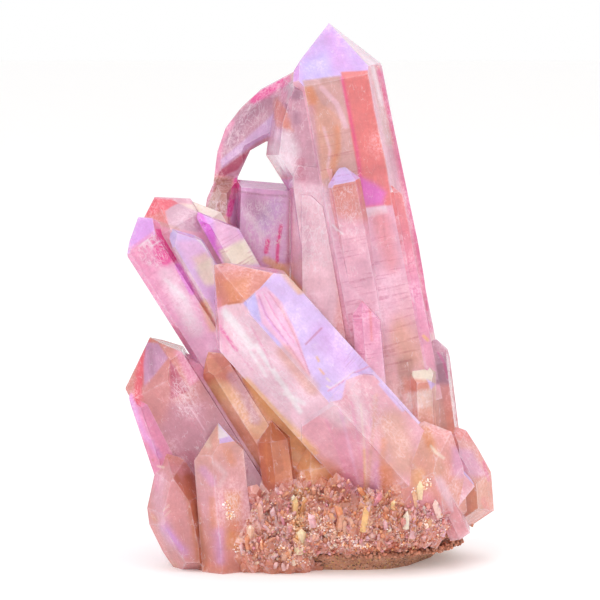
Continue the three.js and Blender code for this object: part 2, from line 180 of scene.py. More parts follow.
class Surface:
    """A closed surface under construction."""

    def __init__(self, corners, fine_edges):
        self.points = [tuple(c) for c in corners]
        self.fine_edges = fine_edges
        self.split = {}             # the points along each edge that has been reached
        self.triangles = []
        self.owner = []             # the whole face that each triangle came from
        self.rim = []               # which corners of the triangles lie on the rim of their whole face
        self.inside = []            # the points inside a whole face, each with that face

    def edge(self, a, b):
        """The points from corner a to corner b, b left out, the same ones for both faces that share them."""
        key = (min(a, b), max(a, b))
        if key not in self.split:
            start, end = np.array(self.points[key[0]]), np.array(self.points[key[1]])
            step = GRID / FINER if key in self.fine_edges else GRID
            parts = max(1, round(float(np.linalg.norm(end - start)) / step))
            first = len(self.points)
            self.points += [tuple(start + (end - start) * i / parts) for i in range(1, parts)]
            self.split[key] = list(range(first, first + parts - 1))
        between = self.split[key]
        return [a] + (between if a < b else between[::-1])

    def fill(self, index, loop, normal, across, inner):
        """Fills one whole face with triangles over the inner points, given across and along its crystal."""
        along = np.cross(normal, across)
        rim = []
        for i, a in enumerate(loop):
            rim += self.edge(a, loop[(i + 1) % len(loop)])
        ids = list(rim)
        space = np.array([self.points[i] for i in rim])
        depth = float(np.mean(space @ normal))
        flat = np.stack([space @ across, space @ along], 1)
        for u, v in inner:
            ids.append(len(self.points))
            self.inside.append((len(self.points), index))
            self.points.append(tuple(across * u + along * v + normal * depth))
        flat = [Vector(q) for q in flat] + [Vector(q) for q in inner]
        outline = [list(range(len(rim)))]
        made, _, faces, origin, _, _ = geometry.delaunay_2d_cdt(flat, [], outline, 1, TOUCHING)
        known = [ids[o[0]] if o else None for o in origin]
        for i, at in enumerate(known):
            if at is None:
                known[i] = len(self.points)
                self.points.append(tuple(across * made[i].x + along * made[i].y + normal * depth))
        for face in faces:
            for j in range(1, len(face) - 1):
                three = (face[0], face[j], face[j + 1])
                self.triangles.append(tuple(known[q] for q in three))
                self.rim += [len(inner) > 0 and min(origin[q] or [len(ids)]) < len(rim) for q in three]
                self.owner.append(index)


def lattice(outline, step):
    """The points of a square grid over the box round a flat outline."""
    low, high = outline.min(0), outline.max(0)
    u, v = (np.arange(math.floor(low[i] / step), math.ceil(high[i] / step) + 1) * step for i in (0, 1))
    return np.stack([w.ravel() for w in np.meshgrid(u, v)], 1)


def well_inside(q, starts, gap):
    """Which points lie inside a closed outline and farther than `gap` from it."""
    ends = np.roll(starts, -1, 0)
    edge = ends - starts
    length2 = np.maximum((edge ** 2).sum(1), NEVER_ZERO)
    away = q[:, None, :] - starts[None]
    share = np.clip((away * edge).sum(2) / length2, 0, 1)
    clear = np.linalg.norm(away - share[:, :, None] * edge, axis=2).min(1) > gap
    above = (starts[None, :, 1] > q[:, 1:]) != (ends[None, :, 1] > q[:, 1:])
    rise = np.where(np.abs(edge[:, 1]) < NEVER_ZERO, NEVER_ZERO, edge[:, 1])
    crossing = starts[:, 0] + (q[:, 1:] - starts[:, 1]) / rise * edge[:, 0]
    return clear & ((above & (q[:, :1] < crossing)).sum(1) % 2 == 1)


# ---- where things are as seen from the front: a drawing 600 units wide and high, y downwards ----
CAMERA_AIM = np.array((-2.0, 0.0, 52.6))
CAMERA_DISTANCE = 600.0
CAMERA_RISE = math.radians(6)
CAMERA_HALF_VIEW = 0.1              # tangent of half the angle of view
DRAWING = 300.0                     # half the drawing


def drawn(points):
    """Where points of the object fall in the front drawing."""
    q = np.asarray(points) - CAMERA_AIM
    depth = CAMERA_DISTANCE + q[:, 1] * math.cos(CAMERA_RISE) - q[:, 2] * math.sin(CAMERA_RISE)
    up = q[:, 1] * math.sin(CAMERA_RISE) + q[:, 2] * math.cos(CAMERA_RISE)
    scale = DRAWING / CAMERA_HALF_VIEW / depth
    return np.stack([DRAWING + q[:, 0] * scale, DRAWING - up * scale], 1)


# ---- colours, as seen in daylight; some also stand in for painted light, as said where they are used ----
# LILAC, IRIS, ORCHID, PERIWINKLE and WISTERIA are the aura film's tint together with a painted reflection of
# the lamps overhead.
LILAC, IRIS, ORCHID = (228, 200, 252), (206, 196, 255), (232, 172, 242)
MAGENTA, HOT, WINE = (240, 120, 232), (242, 62, 150), (196, 92, 118)
ROSE, BLUSH, MILK, WHITE = (242, 178, 192), (250, 208, 222), (250, 228, 236), (255, 250, 250)
SHELL, CANDY, DUSK = (246, 190, 210), (250, 196, 226), (222, 180, 196)
CORAL, RED, SALMON, PEACH = (242, 134, 130), (244, 92, 110), (228, 142, 122), (232, 174, 152)
ORANGE, RUST, TAN, GOLD = (236, 152, 106), (208, 122, 86), (222, 174, 164), (252, 194, 132)
CREAM, MAUVE, PLUM, VIOLET = (255, 240, 218), (208, 156, 178), (176, 126, 150), (240, 184, 230)
BROWN, PINK, PAINTED_LIT_FUCHSIA, CLAY = (190, 138, 124), (244, 156, 192), (255, 88, 176), (230, 160, 168)
BUTTER_SHEEN, STRAW_SHEEN, CHALK, PAINTED_LIT_HONEY = (255, 226, 190), (255, 245, 216), (248, 214, 200), (255, 196, 146)
PAINTED_LIT_APRICOT, TANGERINE, AMBER, PAINTED_LIT_PEACH = (255, 212, 178), (244, 164, 130), (216, 134, 96), (255, 192, 164)
HEATHER, BRICK, DUSTY, ROSEWATER = (212, 160, 202), (224, 148, 146), (208, 142, 160), (242, 168, 176)
CANDY_SHEEN, WISTERIA, PERIWINKLE = (255, 206, 246), (224, 188, 250), (216, 208, 255)

# Each crystal's body colour, from its tip to its foot.
BODY = {
    "main": (ROSE, SHELL, PEACH), "frontSmall": (SALMON, SHELL, ROSE), "rightSmall": (CORAL, PINK, ROSE),
    "ridgeSmall": (PINK, SHELL, ROSE), "slant": (BLUSH, BLUSH, ROSE), "slantFoot": (ROSE, ROSE, PEACH),
    "upperMain": (ROSE, CANDY, PEACH), "upperLeft": (PINK, CANDY, PEACH),
    "upperMiddle": (LILAC, CANDY, CREAM), "upperRight": (ORCHID, CANDY, CREAM),
    "upperBack": (CREAM, BLUSH, PEACH), "lowerMain": (SALMON, MAUVE, ROSE), "lowerSide": (PINK, PINK, ROSE),
    "lowerSecond": (SALMON, ORANGE, SALMON), "lowerBack": (PINK, ROSE, ROSE),
    "lowerFront": (PEACH, ROSE, SALMON), "recessBand": (GOLD, PEACH, ORANGE),
    "recessDark": (RUST, SALMON, ORANGE), "recessGold": (ORANGE, GOLD, RUST),
    "rightTall": (MAUVE, SALMON, SALMON), "rightBehind": (PEACH, PEACH, SALMON),
    "rightFront": (CREAM, SALMON, ORANGE), "rightLow": (BLUSH, ROSEWATER, ROSE),
    "backTall": (LILAC, ROSE, PEACH), "backStep": (PINK, BLUSH, PEACH),
    "backLeft": (ORCHID, ROSE, SALMON), "backLow": (HOT, ROSE, SALMON), "backRight": (SALMON, ROSE, PEACH),
    "backMiddle": (LILAC, BLUSH, ROSE),
}
# Faces that take a colour of their own, by the crystal and its prism's or its pyramid's side. The lilac,
# iris, orchid, periwinkle and wisteria ones are the aura film's tint together with a painted reflection of
# the lamps overhead.
FACE = {
    "main pyramid": {0: WISTERIA, 1: MILK, 5: ORCHID}, "frontSmall pyramid": {0: LILAC, 1: LILAC, 5: LILAC},
    # the slant crystal's salmon pyramid faces are a painted shade: the deep colour of shaded faces lit
    # through the crystal
    "rightSmall pyramid": {0: WHITE}, "slant pyramid": {0: SALMON, 5: SALMON}, "slant prism": {0: LILAC},
    "slantFoot pyramid": {0: ROSE, 5: BLUSH}, "slantFoot prism": {0: ROSE},
    "upperLeft pyramid": {0: ORCHID, 5: ORCHID}, "upperMiddle pyramid": {5: PERIWINKLE},
    "upperMiddle prism": {5: DUSK}, "upperRight prism": {5: MAGENTA},
    "upperRight pyramid": {0: ORCHID, 1: ORCHID}, "lowerFront pyramid": {0: LILAC},
    "rightFront pyramid": {0: CREAM}, "backTall pyramid": {2: LILAC, 3: IRIS}, "backLeft pyramid": {3: LILAC},
    "backLow pyramid": {3: MAGENTA}, "backMiddle pyramid": {3: LILAC},
}
# What is on no crystal's face: its colour at the floor, and from a height upwards.
DARK_REST, LIGHT_REST, LIGHT_REST_HEIGHT = (232, 150, 122), (242, 174, 172), 30
STAIN, STAIN_TOP = (0.985, 0.955, 0.905), 32.0  # the warm stain at the foot, and the height where it ends

# Zones of colour in the crystals, drawn from the front: (colour, strength, fade, half width, x, y, x, y ...).
# A streak runs along its points. A patch, whose half width is 0, has them for its outline.
# A line of names says which crystals the zones after it colour; "rest" is what is on no crystal's face.
ZONE_ROWS = [
    # the tall crystal's lilac face: the aura film's tint together with a painted reflection of the lamps
    "main",
    (IRIS, 0.7, 12, 0, 300, 62, 326, 52, 336, 80, 304, 86),
    (ORCHID, 0.5, 10, 0, 322, 28, 340, 34, 352, 70, 334, 66),
    # its front face: beige and orange at the left, coral at the right
    (TAN, 0.9, 3, 0, 303, 80, 341, 76, 350, 110, 361, 168, 352, 210, 322, 186, 312, 130),
    (PEACH, 0.8, 3, 0, 304, 86, 314, 90, 322, 104, 334, 112, 341, 122, 341, 158, 334, 176, 322, 180,
     316, 140),
    (SALMON, 0.5, 4, 0, 306, 90, 314, 96, 318, 112, 311, 116),
    (BLUSH, 0.6, 3, 1.5, 324, 128, 330, 150, 328, 168),
    (MAUVE, 0.6, 5, 3, 311, 108, 315, 140, 318, 170),
    (ORANGE, 0.7, 6, 4, 310, 90, 314, 100),
    (ORANGE, 0.6, 5, 2.5, 337, 128, 338, 148, 332, 170),
    (BLUSH, 0.7, 3, 2.5, 322, 88, 337, 104, 346, 126),
    (BROWN, 0.6, 4, 3, 324, 81, 338, 79),
    "rightSmall",
    (CORAL, 0.8, 2, 2.5, 388, 190, 391, 216),
    "rightSmall main",
    (MAUVE, 0.6, 2, 1, 382, 190, 385, 240),
    "main",
    (CORAL, 1, 2, 0, 341, 72, 368, 70, 374, 110, 386, 160, 392, 205, 365, 208, 354, 150),
    (HOT, 0.55, 4, 1.5, 342, 78, 349, 110, 357, 150, 363, 196),
    (MAGENTA, 0.75, 8, 0, 359, 176, 376, 184, 386, 192, 383, 205, 364, 207),
    (MILK, 0.7, 3, 0, 365, 208, 386, 205, 388, 213, 366, 218),
    (CORAL, 0.45, 14, 10, 380, 222, 388, 262),
    # its narrow right faces
    (TAN, 0.7, 5, 4, 374, 70, 383, 110, 394, 160, 402, 220),
    (MILK, 0.7, 3, 2, 373, 68, 378, 88, 383, 104),
    "main rest",
    (HOT, 0.55, 5, 2.5, 380, 72, 396, 140, 412, 214, 424, 280, 431, 330),
    (PINK, 0.5, 6, 5, 392, 150, 410, 240, 420, 300),
    "main",
    (PEACH, 0.8, 20, 12, 398, 330, 410, 356),
    # the growth at its left
    "rest",
    (MAUVE, 0.8, 8, 0, 280, 76, 303, 80, 318, 150, 330, 200, 296, 190, 264, 150, 270, 110),
    (PLUM, 0.8, 5, 7, 287, 86, 296, 94),
    (PLUM, 0.6, 4, 3, 296, 112, 297, 122),
    (PLUM, 0.6, 3, 2, 286, 105, 288, 110),
    (SALMON, 0.9, 4, 0, 277, 98, 286, 110, 293, 132, 276, 126, 272, 110),
    (MILK, 0.8, 10, 0, 276, 132, 290, 130, 300, 150, 296, 176, 282, 176, 268, 150),
    "rest main",
    (WINE, 0.4, 8, 4, 300, 160, 302, 190),
    "main frontSmall rest",
    (BLUSH, 0.85, 8, 0, 292, 180, 330, 186, 338, 300, 330, 352, 292, 300),
    "main frontSmall",
    (SHELL, 0.8, 14, 0, 336, 216, 372, 222, 398, 300, 388, 344, 340, 330),
    "ridgeSmall",
    (CORAL, 0.5, 3, 1.2, 352, 312, 360, 300, 370, 304, 372, 340),
    "any",
    (MAUVE, 0.35, 10, 5, 304, 214, 308, 250),
    (WHITE, 0.9, 1.5, 0.8, 333, 225, 337, 230, 343, 234),
    # the arch
    "rest",
    (MAUVE, 0.9, 4, 0, 284, 72, 262, 86, 226, 124, 212, 170, 236, 180, 262, 144, 274, 122, 275, 100),
    (PLUM, 0.6, 8, 6, 268, 100, 244, 118, 230, 142),
    (HOT, 0.75, 4, 4.5, 287, 79, 268, 91, 254, 99),
    (PINK, 0.8, 4, 2.5, 232, 122, 221, 142, 216, 172),
    (LILAC, 0.6, 3, 0, 273, 114, 270, 136, 256, 143, 222, 168, 220, 160, 244, 140),
    (WINE, 0.9, 2, 0, 214, 175, 252, 148, 238, 170, 224, 176),
    # the stump under it and the block behind
    (BROWN, 0.85, 4, 0, 205, 178, 232, 177, 230, 212, 214, 222, 203, 212),
    (PINK, 0.7, 3, 2, 214, 184, 206, 204),
    (VIOLET, 0.95, 3, 0, 236, 176, 292, 180, 291, 262, 262, 268, 230, 222),
    (PLUM, 0.5, 14, 10, 252, 204, 262, 212),
    (IRIS, 0.3, 12, 8, 276, 206, 262, 226),
    (PLUM, 0.6, 2, 0.8, 238, 191, 262, 195, 286, 196),
    (WINE, 0.6, 4, 2, 291, 190, 288, 262),
    # the stump's hot pink stripe, painted brighter than its own colour: painted light on its shaded face
    (PAINTED_LIT_FUCHSIA, 1, 2, 3, 237, 181, 235, 190),
    (PAINTED_LIT_FUCHSIA, 1, 2, 3, 233, 197, 229, 214),
    (PINK, 0.9, 2, 2.5, 235, 190, 233, 197),
    (HOT, 0.95, 2, 2, 268, 241, 266, 252),
    (HOT, 1, 2, 1.6, 281, 226, 278, 244, 277, 262),
    (MILK, 0.6, 5, 3, 246, 214, 256, 224, 262, 236),
    (MILK, 0.5, 4, 2, 262, 206, 272, 220),
    # the upper left bundle
    "upperMain",
    (RED, 0.95, 5, 0, 140, 217, 154, 197, 172, 201, 168, 212, 152, 216),
    (CORAL, 0.9, 5, 0, 142, 217, 166, 209, 168, 224, 152, 222),
    (DUSK, 0.9, 2, 0, 165, 211, 176, 203, 200, 210, 200, 232, 170, 228),
    (MAUVE, 0.6, 2, 0, 190, 214, 200, 212, 202, 232, 184, 230, 186, 220),
    (RED, 0.8, 2, 0, 150, 199, 172, 199, 178, 203, 164, 210),
    (TAN, 0.7, 3, 2, 158, 223, 178, 229),
    "upperLeft",
    (HOT, 0.75, 5, 0, 152, 242, 160, 240, 174, 260, 166, 267, 157, 262),
    (HOT, 0.95, 2, 0, 156, 229, 161, 229, 167, 242, 178, 258, 174, 263, 164, 252, 157, 240),
    (PINK, 0.6, 3, 0, 127, 249, 155, 230, 150, 252, 142, 268),
    (WHITE, 0.7, 1.5, 1, 140, 246, 148, 240, 152, 246, 160, 241),
    "upperLeft upperMain",
    (MAGENTA, 0.75, 2, 3, 178, 266, 192, 292),
    "upperLeft",
    (MILK, 0.6, 10, 8, 166, 274, 180, 300, 196, 330),
    (MILK, 0.7, 5, 4, 174, 288, 186, 304, 190, 322),
    (WHITE, 0.5, 3, 2, 166, 280, 184, 298),
    "upperLeft upperMain",
    (PINK, 0.7, 5, 3, 134, 262, 160, 304, 184, 344),
    "upperLeft upperMain upperMiddle rest",
    (GOLD, 0.6, 5, 4, 204, 304, 209, 316, 213, 328),
    (ORANGE, 0.5, 2, 1.2, 204, 304, 208, 314),
    "upperMiddle",
    # partly painted reflections of a window, partly the aura film's own iridescent tint: the bright pink,
    # butter and cream patches here
    (CANDY_SHEEN, 0.85, 6, 0, 176, 242, 200, 240, 212, 262, 192, 268),
    (BUTTER_SHEEN, 0.6, 5, 0, 192, 258, 206, 252, 214, 264, 200, 270),
    (CREAM, 0.95, 6, 0, 196, 266, 212, 257, 218, 284, 206, 286, 199, 276),
    "upperMiddle upperRight",
    # a painted highlight along the right edge
    (WHITE, 0.7, 2, 1.5, 196, 236, 212, 254, 222, 266),
    "upperRight",
    (MAGENTA, 0.95, 2.5, 5, 198, 216, 208, 234, 214, 248),
    (CANDY, 0.9, 5, 0, 214, 218, 236, 226, 244, 240, 216, 248),
    # partly a painted reflection of a window, partly the aura film's own tint: the bright straw patch
    (STRAW_SHEEN, 0.95, 6, 0, 218, 250, 246, 238, 260, 264, 224, 268),
    "upperBack upperMain",
    (CREAM, 0.7, 3, 0, 180, 203, 204, 204, 202, 212, 188, 208),
    # the lying crystal: its salmon pyramid, a painted shade; lilac faces with a painted reflection; veined
    # faces, milky body and painted highlights
    "slant",
    # painted shade: deeper orange on its shaded salmon pyramid
    (ORANGE, 0.8, 9, 0, 222, 282, 250, 276, 248, 300, 232, 306),
    (ROSE, 0.5, 6, 4, 216, 270, 252, 264, 278, 270),
    (BLUSH, 0.95, 1.5, 0, 206, 313, 227, 304, 244, 303, 252, 312, 226, 336, 206, 336),
    (RUST, 0.8, 2, 1, 228, 304, 238, 302),
    (IRIS, 0.7, 8, 0, 243, 302, 254, 298, 300, 372, 340, 400, 312, 384),
    (ORCHID, 0.4, 20, 10, 322, 334, 348, 366),
    (IRIS, 0.9, 1.5, 0, 243, 303, 256, 291, 262, 322, 254, 316),
    (CANDY, 0.95, 1.5, 0, 255, 291, 266, 286, 282, 302, 294, 328, 302, 348, 311, 378, 290, 353, 262, 323),
    (ORCHID, 0.7, 2, 1.2, 260, 300, 268, 318, 288, 344),
    (WINE, 0.5, 1.5, 0.5, 259, 295, 266, 314, 284, 338, 306, 371),
    (HOT, 0.35, 1.5, 0.5, 264, 294, 276, 316, 294, 342),
    (WINE, 0.5, 1.5, 0.5, 269, 292, 284, 314, 296, 338, 310, 374),
    (WHITE, 0.5, 1.5, 0.5, 262, 292, 272, 312, 282, 330),
    (ROSE, 0.7, 2, 1, 276, 298, 288, 320, 298, 342),
    (GOLD, 0.7, 1.5, 1, 317, 357, 319, 361),
    (GOLD, 0.7, 1.5, 1, 320, 369, 324, 374),
    (CREAM, 0.8, 1.5, 0.8, 327, 378, 330, 381),
    (CREAM, 0.8, 1.5, 0.8, 327, 386, 330, 388),
    "slantFoot",
    (LILAC, 0.95, 1.5, 0, 326, 403, 350, 374, 374, 366, 372, 370, 346, 380, 342, 399),
    "slant",
    (WINE, 0.5, 1.5, 0.8, 306, 344, 322, 328),
    (PINK, 0.7, 1.5, 0.7, 328, 391, 342, 382, 352, 374, 370, 366),
    # a painted highlight along the edge of the lilac face
    (WHITE, 0.6, 1.5, 0.7, 330, 388, 344, 379, 354, 371),
    # a painted highlight on its left body
    (WHITE, 0.8, 4, 4, 224, 312, 236, 326, 250, 346),
    "slant slantFoot",
    # a painted highlight, running down to the foot
    (WHITE, 0.8, 3, 2.5, 256, 346, 282, 384, 300, 412),
    "slant",
    (WHITE, 0.7, 3, 1.5, 250, 352, 266, 376),
    "slant slantFoot",
    # a painted highlight near the foot
    (WHITE, 0.7, 3, 2, 284, 394, 304, 404),
    "slant",
    (PINK, 0.5, 2, 1, 252, 328, 264, 350, 272, 368),
    (PINK, 0.5, 2, 1, 222, 330, 240, 356, 252, 370),
    (HOT, 0.5, 3, 1.5, 219, 326, 236, 350),
    (PINK, 0.5, 5, 3, 218, 300, 220, 330, 226, 352),
    (PEACH, 0.6, 8, 7, 284, 352, 312, 388),
    "any",
    (GOLD, 0.7, 4, 3.5, 266, 260, 282, 268, 300, 291),
    # its foot
    "slantFoot",
    (MILK, 0.6, 12, 9, 322, 404, 342, 420),
    (LILAC, 0.9, 2, 2, 381, 384, 403, 410),
    "slantFoot rest",
    (PINK, 0.45, 14, 9, 346, 440, 352, 486),
    (ORCHID, 0.5, 8, 4, 378, 466, 376, 496),
    (ORANGE, 0.7, 10, 7, 386, 470, 392, 500),
    "any",
    (GOLD, 0.7, 8, 7, 418, 474, 420, 486),
    (GOLD, 0.8, 5, 4, 427, 436, 432, 450),
    "slantFoot rest",
    (PEACH, 0.8, 18, 14, 392, 424, 404, 462),
    "slantFoot",
    (MILK, 0.5, 10, 5, 352, 384, 364, 420),
    (PINK, 0.6, 3, 1.2, 352, 402, 358, 440, 364, 486),
    (CREAM, 0.6, 2, 0.7, 361, 404, 364, 440, 366, 488),
    (CANDY, 0.7, 3, 1.5, 340, 410, 350, 450, 360, 490),
    (ORCHID, 0.5, 3, 1.5, 372, 420, 371, 460, 370, 494),
    "slantFoot rest",
    (GOLD, 0.6, 3, 1, 364, 450, 365, 498),
    "slantFoot",
    (PINK, 0.4, 3, 1.2, 326, 420, 340, 456, 352, 486),
    (PEACH, 0.7, 4, 2, 376, 396, 372, 440, 368, 488),
    "slantFoot rest",
    (ORANGE, 0.6, 5, 2.5, 384, 440, 382, 470, 386, 500),
    "rest",
    (CANDY, 0.6, 8, 4, 436, 478, 452, 504, 462, 524),
    (PEACH, 0.8, 12, 10, 420, 432, 436, 470),
    "any",
    (GOLD, 0.8, 4, 4, 246, 382, 276, 414, 314, 452),
    "recessBand recessGold rest",
    # the recess's own gold, laid on light enough to lift the shade there: partly painted light
    (GOLD, 0.55, 10, 0, 250, 384, 266, 380, 334, 470, 300, 480, 272, 430),
    "lowerSecond",
    # painted light: a pale apricot that lifts the shade of the recess
    (PAINTED_LIT_APRICOT, 0.7, 8, 0, 206, 384, 240, 380, 280, 424, 262, 440, 230, 420),
    "rest",
    (CLAY, 0.9, 12, 0, 150, 455, 196, 470, 202, 574, 168, 574, 146, 520),
    (CANDY, 0.6, 10, 6, 160, 478, 158, 500, 170, 540),
    (RUST, 0.6, 6, 3, 176, 476, 190, 500, 199, 560),
    (ORCHID, 0.8, 3, 2, 167, 530, 182, 549),
    "rest lowerSide",
    (CREAM, 0.8, 2, 1.2, 158, 466, 163, 467),
    "rest lowerSide lowerMain",
    (RUST, 0.6, 2, 1, 153, 460, 160, 455, 170, 458),
    "rest",
    (CREAM, 0.6, 1.5, 0.6, 163, 511, 169, 505),
    (CREAM, 0.6, 1.5, 0.6, 165, 516, 170, 511),
    (ORANGE, 0.6, 4, 2, 152, 516, 155, 520),
    (PEACH, 0.6, 5, 3, 164, 560, 176, 566),
    "lowerFront",
    (CREAM, 0.5, 4, 3, 204, 434, 208, 446),
    (ORCHID, 0.5, 6, 4, 203, 470, 212, 482),
    (MILK, 0.5, 4, 2.5, 214, 462, 226, 474, 220, 486),
    (ORANGE, 0.5, 5, 4, 228, 452, 232, 462),
    "lowerFront rest",
    (GOLD, 0.6, 4, 0, 226, 494, 240, 496, 238, 512, 228, 510),
    (GOLD, 0.6, 5, 0, 228, 530, 242, 534, 240, 548, 226, 548),
    "lowerFront",
    (ORANGE, 0.5, 6, 3, 212, 500, 214, 540),
    (VIOLET, 0.6, 4, 2, 221, 530, 220, 562),
    # the lower left bundle
    "lowerMain lowerSide",
    (RED, 0.85, 4, 4, 146, 342, 140, 370, 137, 402),
    "lowerMain",
    (HEATHER, 0.85, 3, 0, 146, 342, 158, 343, 168, 358, 154, 376, 144, 390, 143, 364),
    (PLUM, 0.5, 5, 3, 150, 352, 152, 372),
    (BRICK, 0.8, 4, 0, 141, 388, 156, 374, 168, 360, 170, 422, 150, 424),
    "any",
    (WINE, 0.8, 3, 0, 170, 360, 170, 400, 190, 390),
    "lowerMain",
    (DUSTY, 0.7, 12, 0, 170, 402, 206, 404, 206, 450, 194, 476, 160, 430),
    "lowerMain lowerSide",
    (PINK, 0.9, 3, 0, 126, 394, 138, 404, 174, 462, 158, 466, 138, 440),
    (ORCHID, 0.6, 5, 3, 130, 398, 144, 434, 160, 456),
    "any",
    (BLUSH, 0.7, 1, 0.6, 183, 395, 205, 430),
    "lowerBack lowerMain",
    (PINK, 0.8, 5, 0, 174, 350, 186, 350, 204, 376, 190, 386),
    "lowerMain",
    (WINE, 0.6, 4, 3, 173, 368, 176, 394),
    "lowerSecond",
    (TANGERINE, 0.9, 3, 0, 200, 368, 208, 352, 224, 372, 206, 379),
    (GOLD, 0.55, 8, 8, 216, 386, 228, 404),
    "lowerSecond recessBand",
    (MAUVE, 0.7, 5, 5, 232, 376, 244, 392, 256, 420),
    "any",
    (ORANGE, 0.8, 6, 0, 270, 420, 302, 478, 270, 484, 262, 452),
    "recessDark",
    (AMBER, 0.8, 3, 0, 266, 424, 278, 426, 284, 470, 268, 482),
    "recessGold recessBand rest",
    # the recess's own gold, laid on light enough to lift the shade there: partly painted light
    (GOLD, 0.6, 6, 0, 282, 426, 310, 450, 322, 470, 300, 470),
    "recessGold rest slantFoot recessBand",
    (ORANGE, 0.6, 14, 12, 300, 458, 328, 476),
    "recessBand lowerSecond rest",
    # painted light: a pale peach that lifts the shade deep in the recess
    (PAINTED_LIT_PEACH, 0.75, 8, 8, 226, 408, 258, 462),
    "recessGold recessBand rest",
    # painted light: a pale honey that lifts the shade of the recess
    (PAINTED_LIT_HONEY, 0.7, 8, 7, 294, 450, 312, 468),
    "lowerFront",
    (WHITE, 0.9, 1.5, 0, 218, 424, 229, 436, 218, 439),
    "any",
    (RUST, 0.75, 6, 5, 188, 478, 196, 520, 203, 566),
    "lowerFront rest",
    (ORCHID, 0.6, 10, 6, 217, 534, 220, 560),
    "rest lowerMain",
    (ORCHID, 0.6, 8, 5, 164, 528, 184, 552),
    "rest lowerSide",
    (PINK, 0.6, 4, 2, 157, 474, 156, 490),
    # the short crystals at the right
    "any",
    (BROWN, 0.7, 5, 0, 397, 360, 414, 356, 412, 376, 400, 400),
    (SALMON, 0.8, 4, 0, 404, 378, 430, 380, 430, 392, 404, 394),
    (CHALK, 0.8, 5, 0, 406, 394, 432, 388, 430, 406, 412, 410),
    (GOLD, 0.8, 2, 1.5, 424, 336, 428, 340),
    "rightFront rightTall rightBehind",
    (CREAM, 1, 1.5, 0, 411, 369, 416, 363, 423, 366, 426, 376, 418, 378, 413, 375),
    "any",
    (LILAC, 1, 2, 0, 427, 379, 436, 384, 431, 390),
    (PLUM, 0.8, 4, 0, 436, 352, 446, 352, 451, 384, 436, 384),
    (WINE, 0.5, 3, 2, 447, 352, 456, 384, 456, 424),
    (TAN, 0.6, 5, 5, 436, 394, 442, 424),
    # the lobe at the right
    "rest",
    (ORCHID, 0.5, 8, 0, 452, 446, 472, 450, 488, 476, 470, 484, 452, 474),
    (PEACH, 0.5, 8, 6, 468, 482, 474, 498),
    (CORAL, 0.7, 5, 5, 452, 430, 468, 436),
    (ORANGE, 0.5, 8, 0, 466, 478, 489, 476, 491, 508, 470, 516),
    (HOT, 0.4, 3, 1.5, 484, 462, 489, 480),
    (CORAL, 0.6, 4, 3, 484, 500, 488, 512),
    (ORANGE, 0.8, 4, 4, 425, 430, 430, 444),
    (CREAM, 0.7, 2, 1.5, 431, 446, 436, 452, 444, 458),
    (BLUSH, 0.7, 5, 4, 440, 480, 452, 504, 462, 524),
    "any",
    (HOT, 0.4, 2, 1, 438, 352, 444, 362, 448, 378),
    # the druse round the foot
    "rest lowerFront",
    (ORANGE, 0.6, 8, 0, 226, 490, 242, 492, 240, 550, 228, 548),
    "rest recessGold",
    (GOLD, 0.9, 6, 0, 291, 486, 304, 490, 306, 548, 294, 540),
    "rest",
    (ORANGE, 0.5, 16, 0, 300, 478, 360, 500, 392, 500, 392, 544, 330, 540, 300, 520),
    (RUST, 0.5, 14, 0, 376, 506, 452, 514, 458, 540, 384, 552),
    (SALMON, 0.6, 8, 0, 330, 540, 455, 524, 460, 536, 380, 556, 320, 560),
    "any",
    (GOLD, 0.7, 4, 3, 366, 498, 368, 524),
    "rest",
    (PINK, 0.5, 14, 12, 420, 500, 444, 520),
]


# Where growth lines across the crystals show dark: (strength, fade, half width, x, y, x, y ...).
LINED = [
    (1.0, 4, 0, 200, 222, 236, 226, 262, 264, 222, 268),
    (0.8, 12, 0, 338, 240, 408, 230, 424, 330, 412, 372, 346, 368),
    (0.7, 8, 0, 318, 136, 352, 130, 358, 200, 322, 196),
    (1.0, 3, 0, 204, 178, 233, 177, 231, 206, 204, 206),
    (1.0, 3, 0, 232, 376, 244, 380, 262, 420, 246, 424), (0.6, 8, 8, 146, 250, 172, 300, 196, 340),
    (0.6, 6, 0, 236, 182, 290, 184, 290, 204, 236, 200), (0.5, 8, 6, 390, 120, 404, 190),
]
# Where fine white veils and scratches show, in the same form.
VEILED = [
    (1.0, 8, 0, 240, 204, 284, 196, 286, 244, 250, 250),
    (1.0, 5, 0, 134, 250, 156, 230, 170, 250, 162, 268, 142, 264),
    (0.8, 10, 0, 272, 124, 294, 128, 304, 172, 292, 184, 272, 150),
    (0.8, 10, 0, 294, 184, 328, 190, 330, 262, 298, 280),
    (0.9, 12, 0, 222, 312, 250, 318, 312, 404, 286, 412, 230, 350),
    (0.6, 8, 0, 334, 186, 356, 184, 362, 236, 338, 240),
    (0.7, 8, 0, 374, 70, 388, 96, 398, 150, 386, 140, 376, 96),
    (0.8, 6, 0, 172, 378, 196, 384, 200, 420, 176, 416),
    (1.0, 3, 0, 406, 393, 431, 389, 430, 408, 410, 410),
    (0.9, 3, 0, 216, 198, 231, 200, 226, 214, 212, 214),
    (0.7, 8, 0, 162, 278, 186, 284, 204, 330, 186, 336),
    (0.7, 6, 0, 226, 494, 242, 496, 240, 524, 228, 520),
    (0.6, 8, 0, 240, 110, 262, 96, 268, 118, 236, 150, 222, 156),
    (0.5, 14, 0, 330, 396, 372, 380, 396, 430, 356, 450),
]
SOFT = 6                            # the least fade of a zone that shows at the back as well
AWAY = 0.35                         # a face whose normal's Y is over this faces away from the front
CRISP = 3                           # the most fade of a crisp zone
CRISP_MARGIN = 1.5                  # how far from its edge the grid is finer, in units of the drawing


def zones(rows):
    """(colour, strength, fade, half width, points, numbers of its crystals or None for any) of each zone."""
    for row in rows:
        if isinstance(row, str):
            of = None if row == "any" else [-1 if n == "rest" else NAMES.index(n) for n in row.split()]
        else:
            yield *row[:4], np.reshape(row[4:], (-1, 2)), of


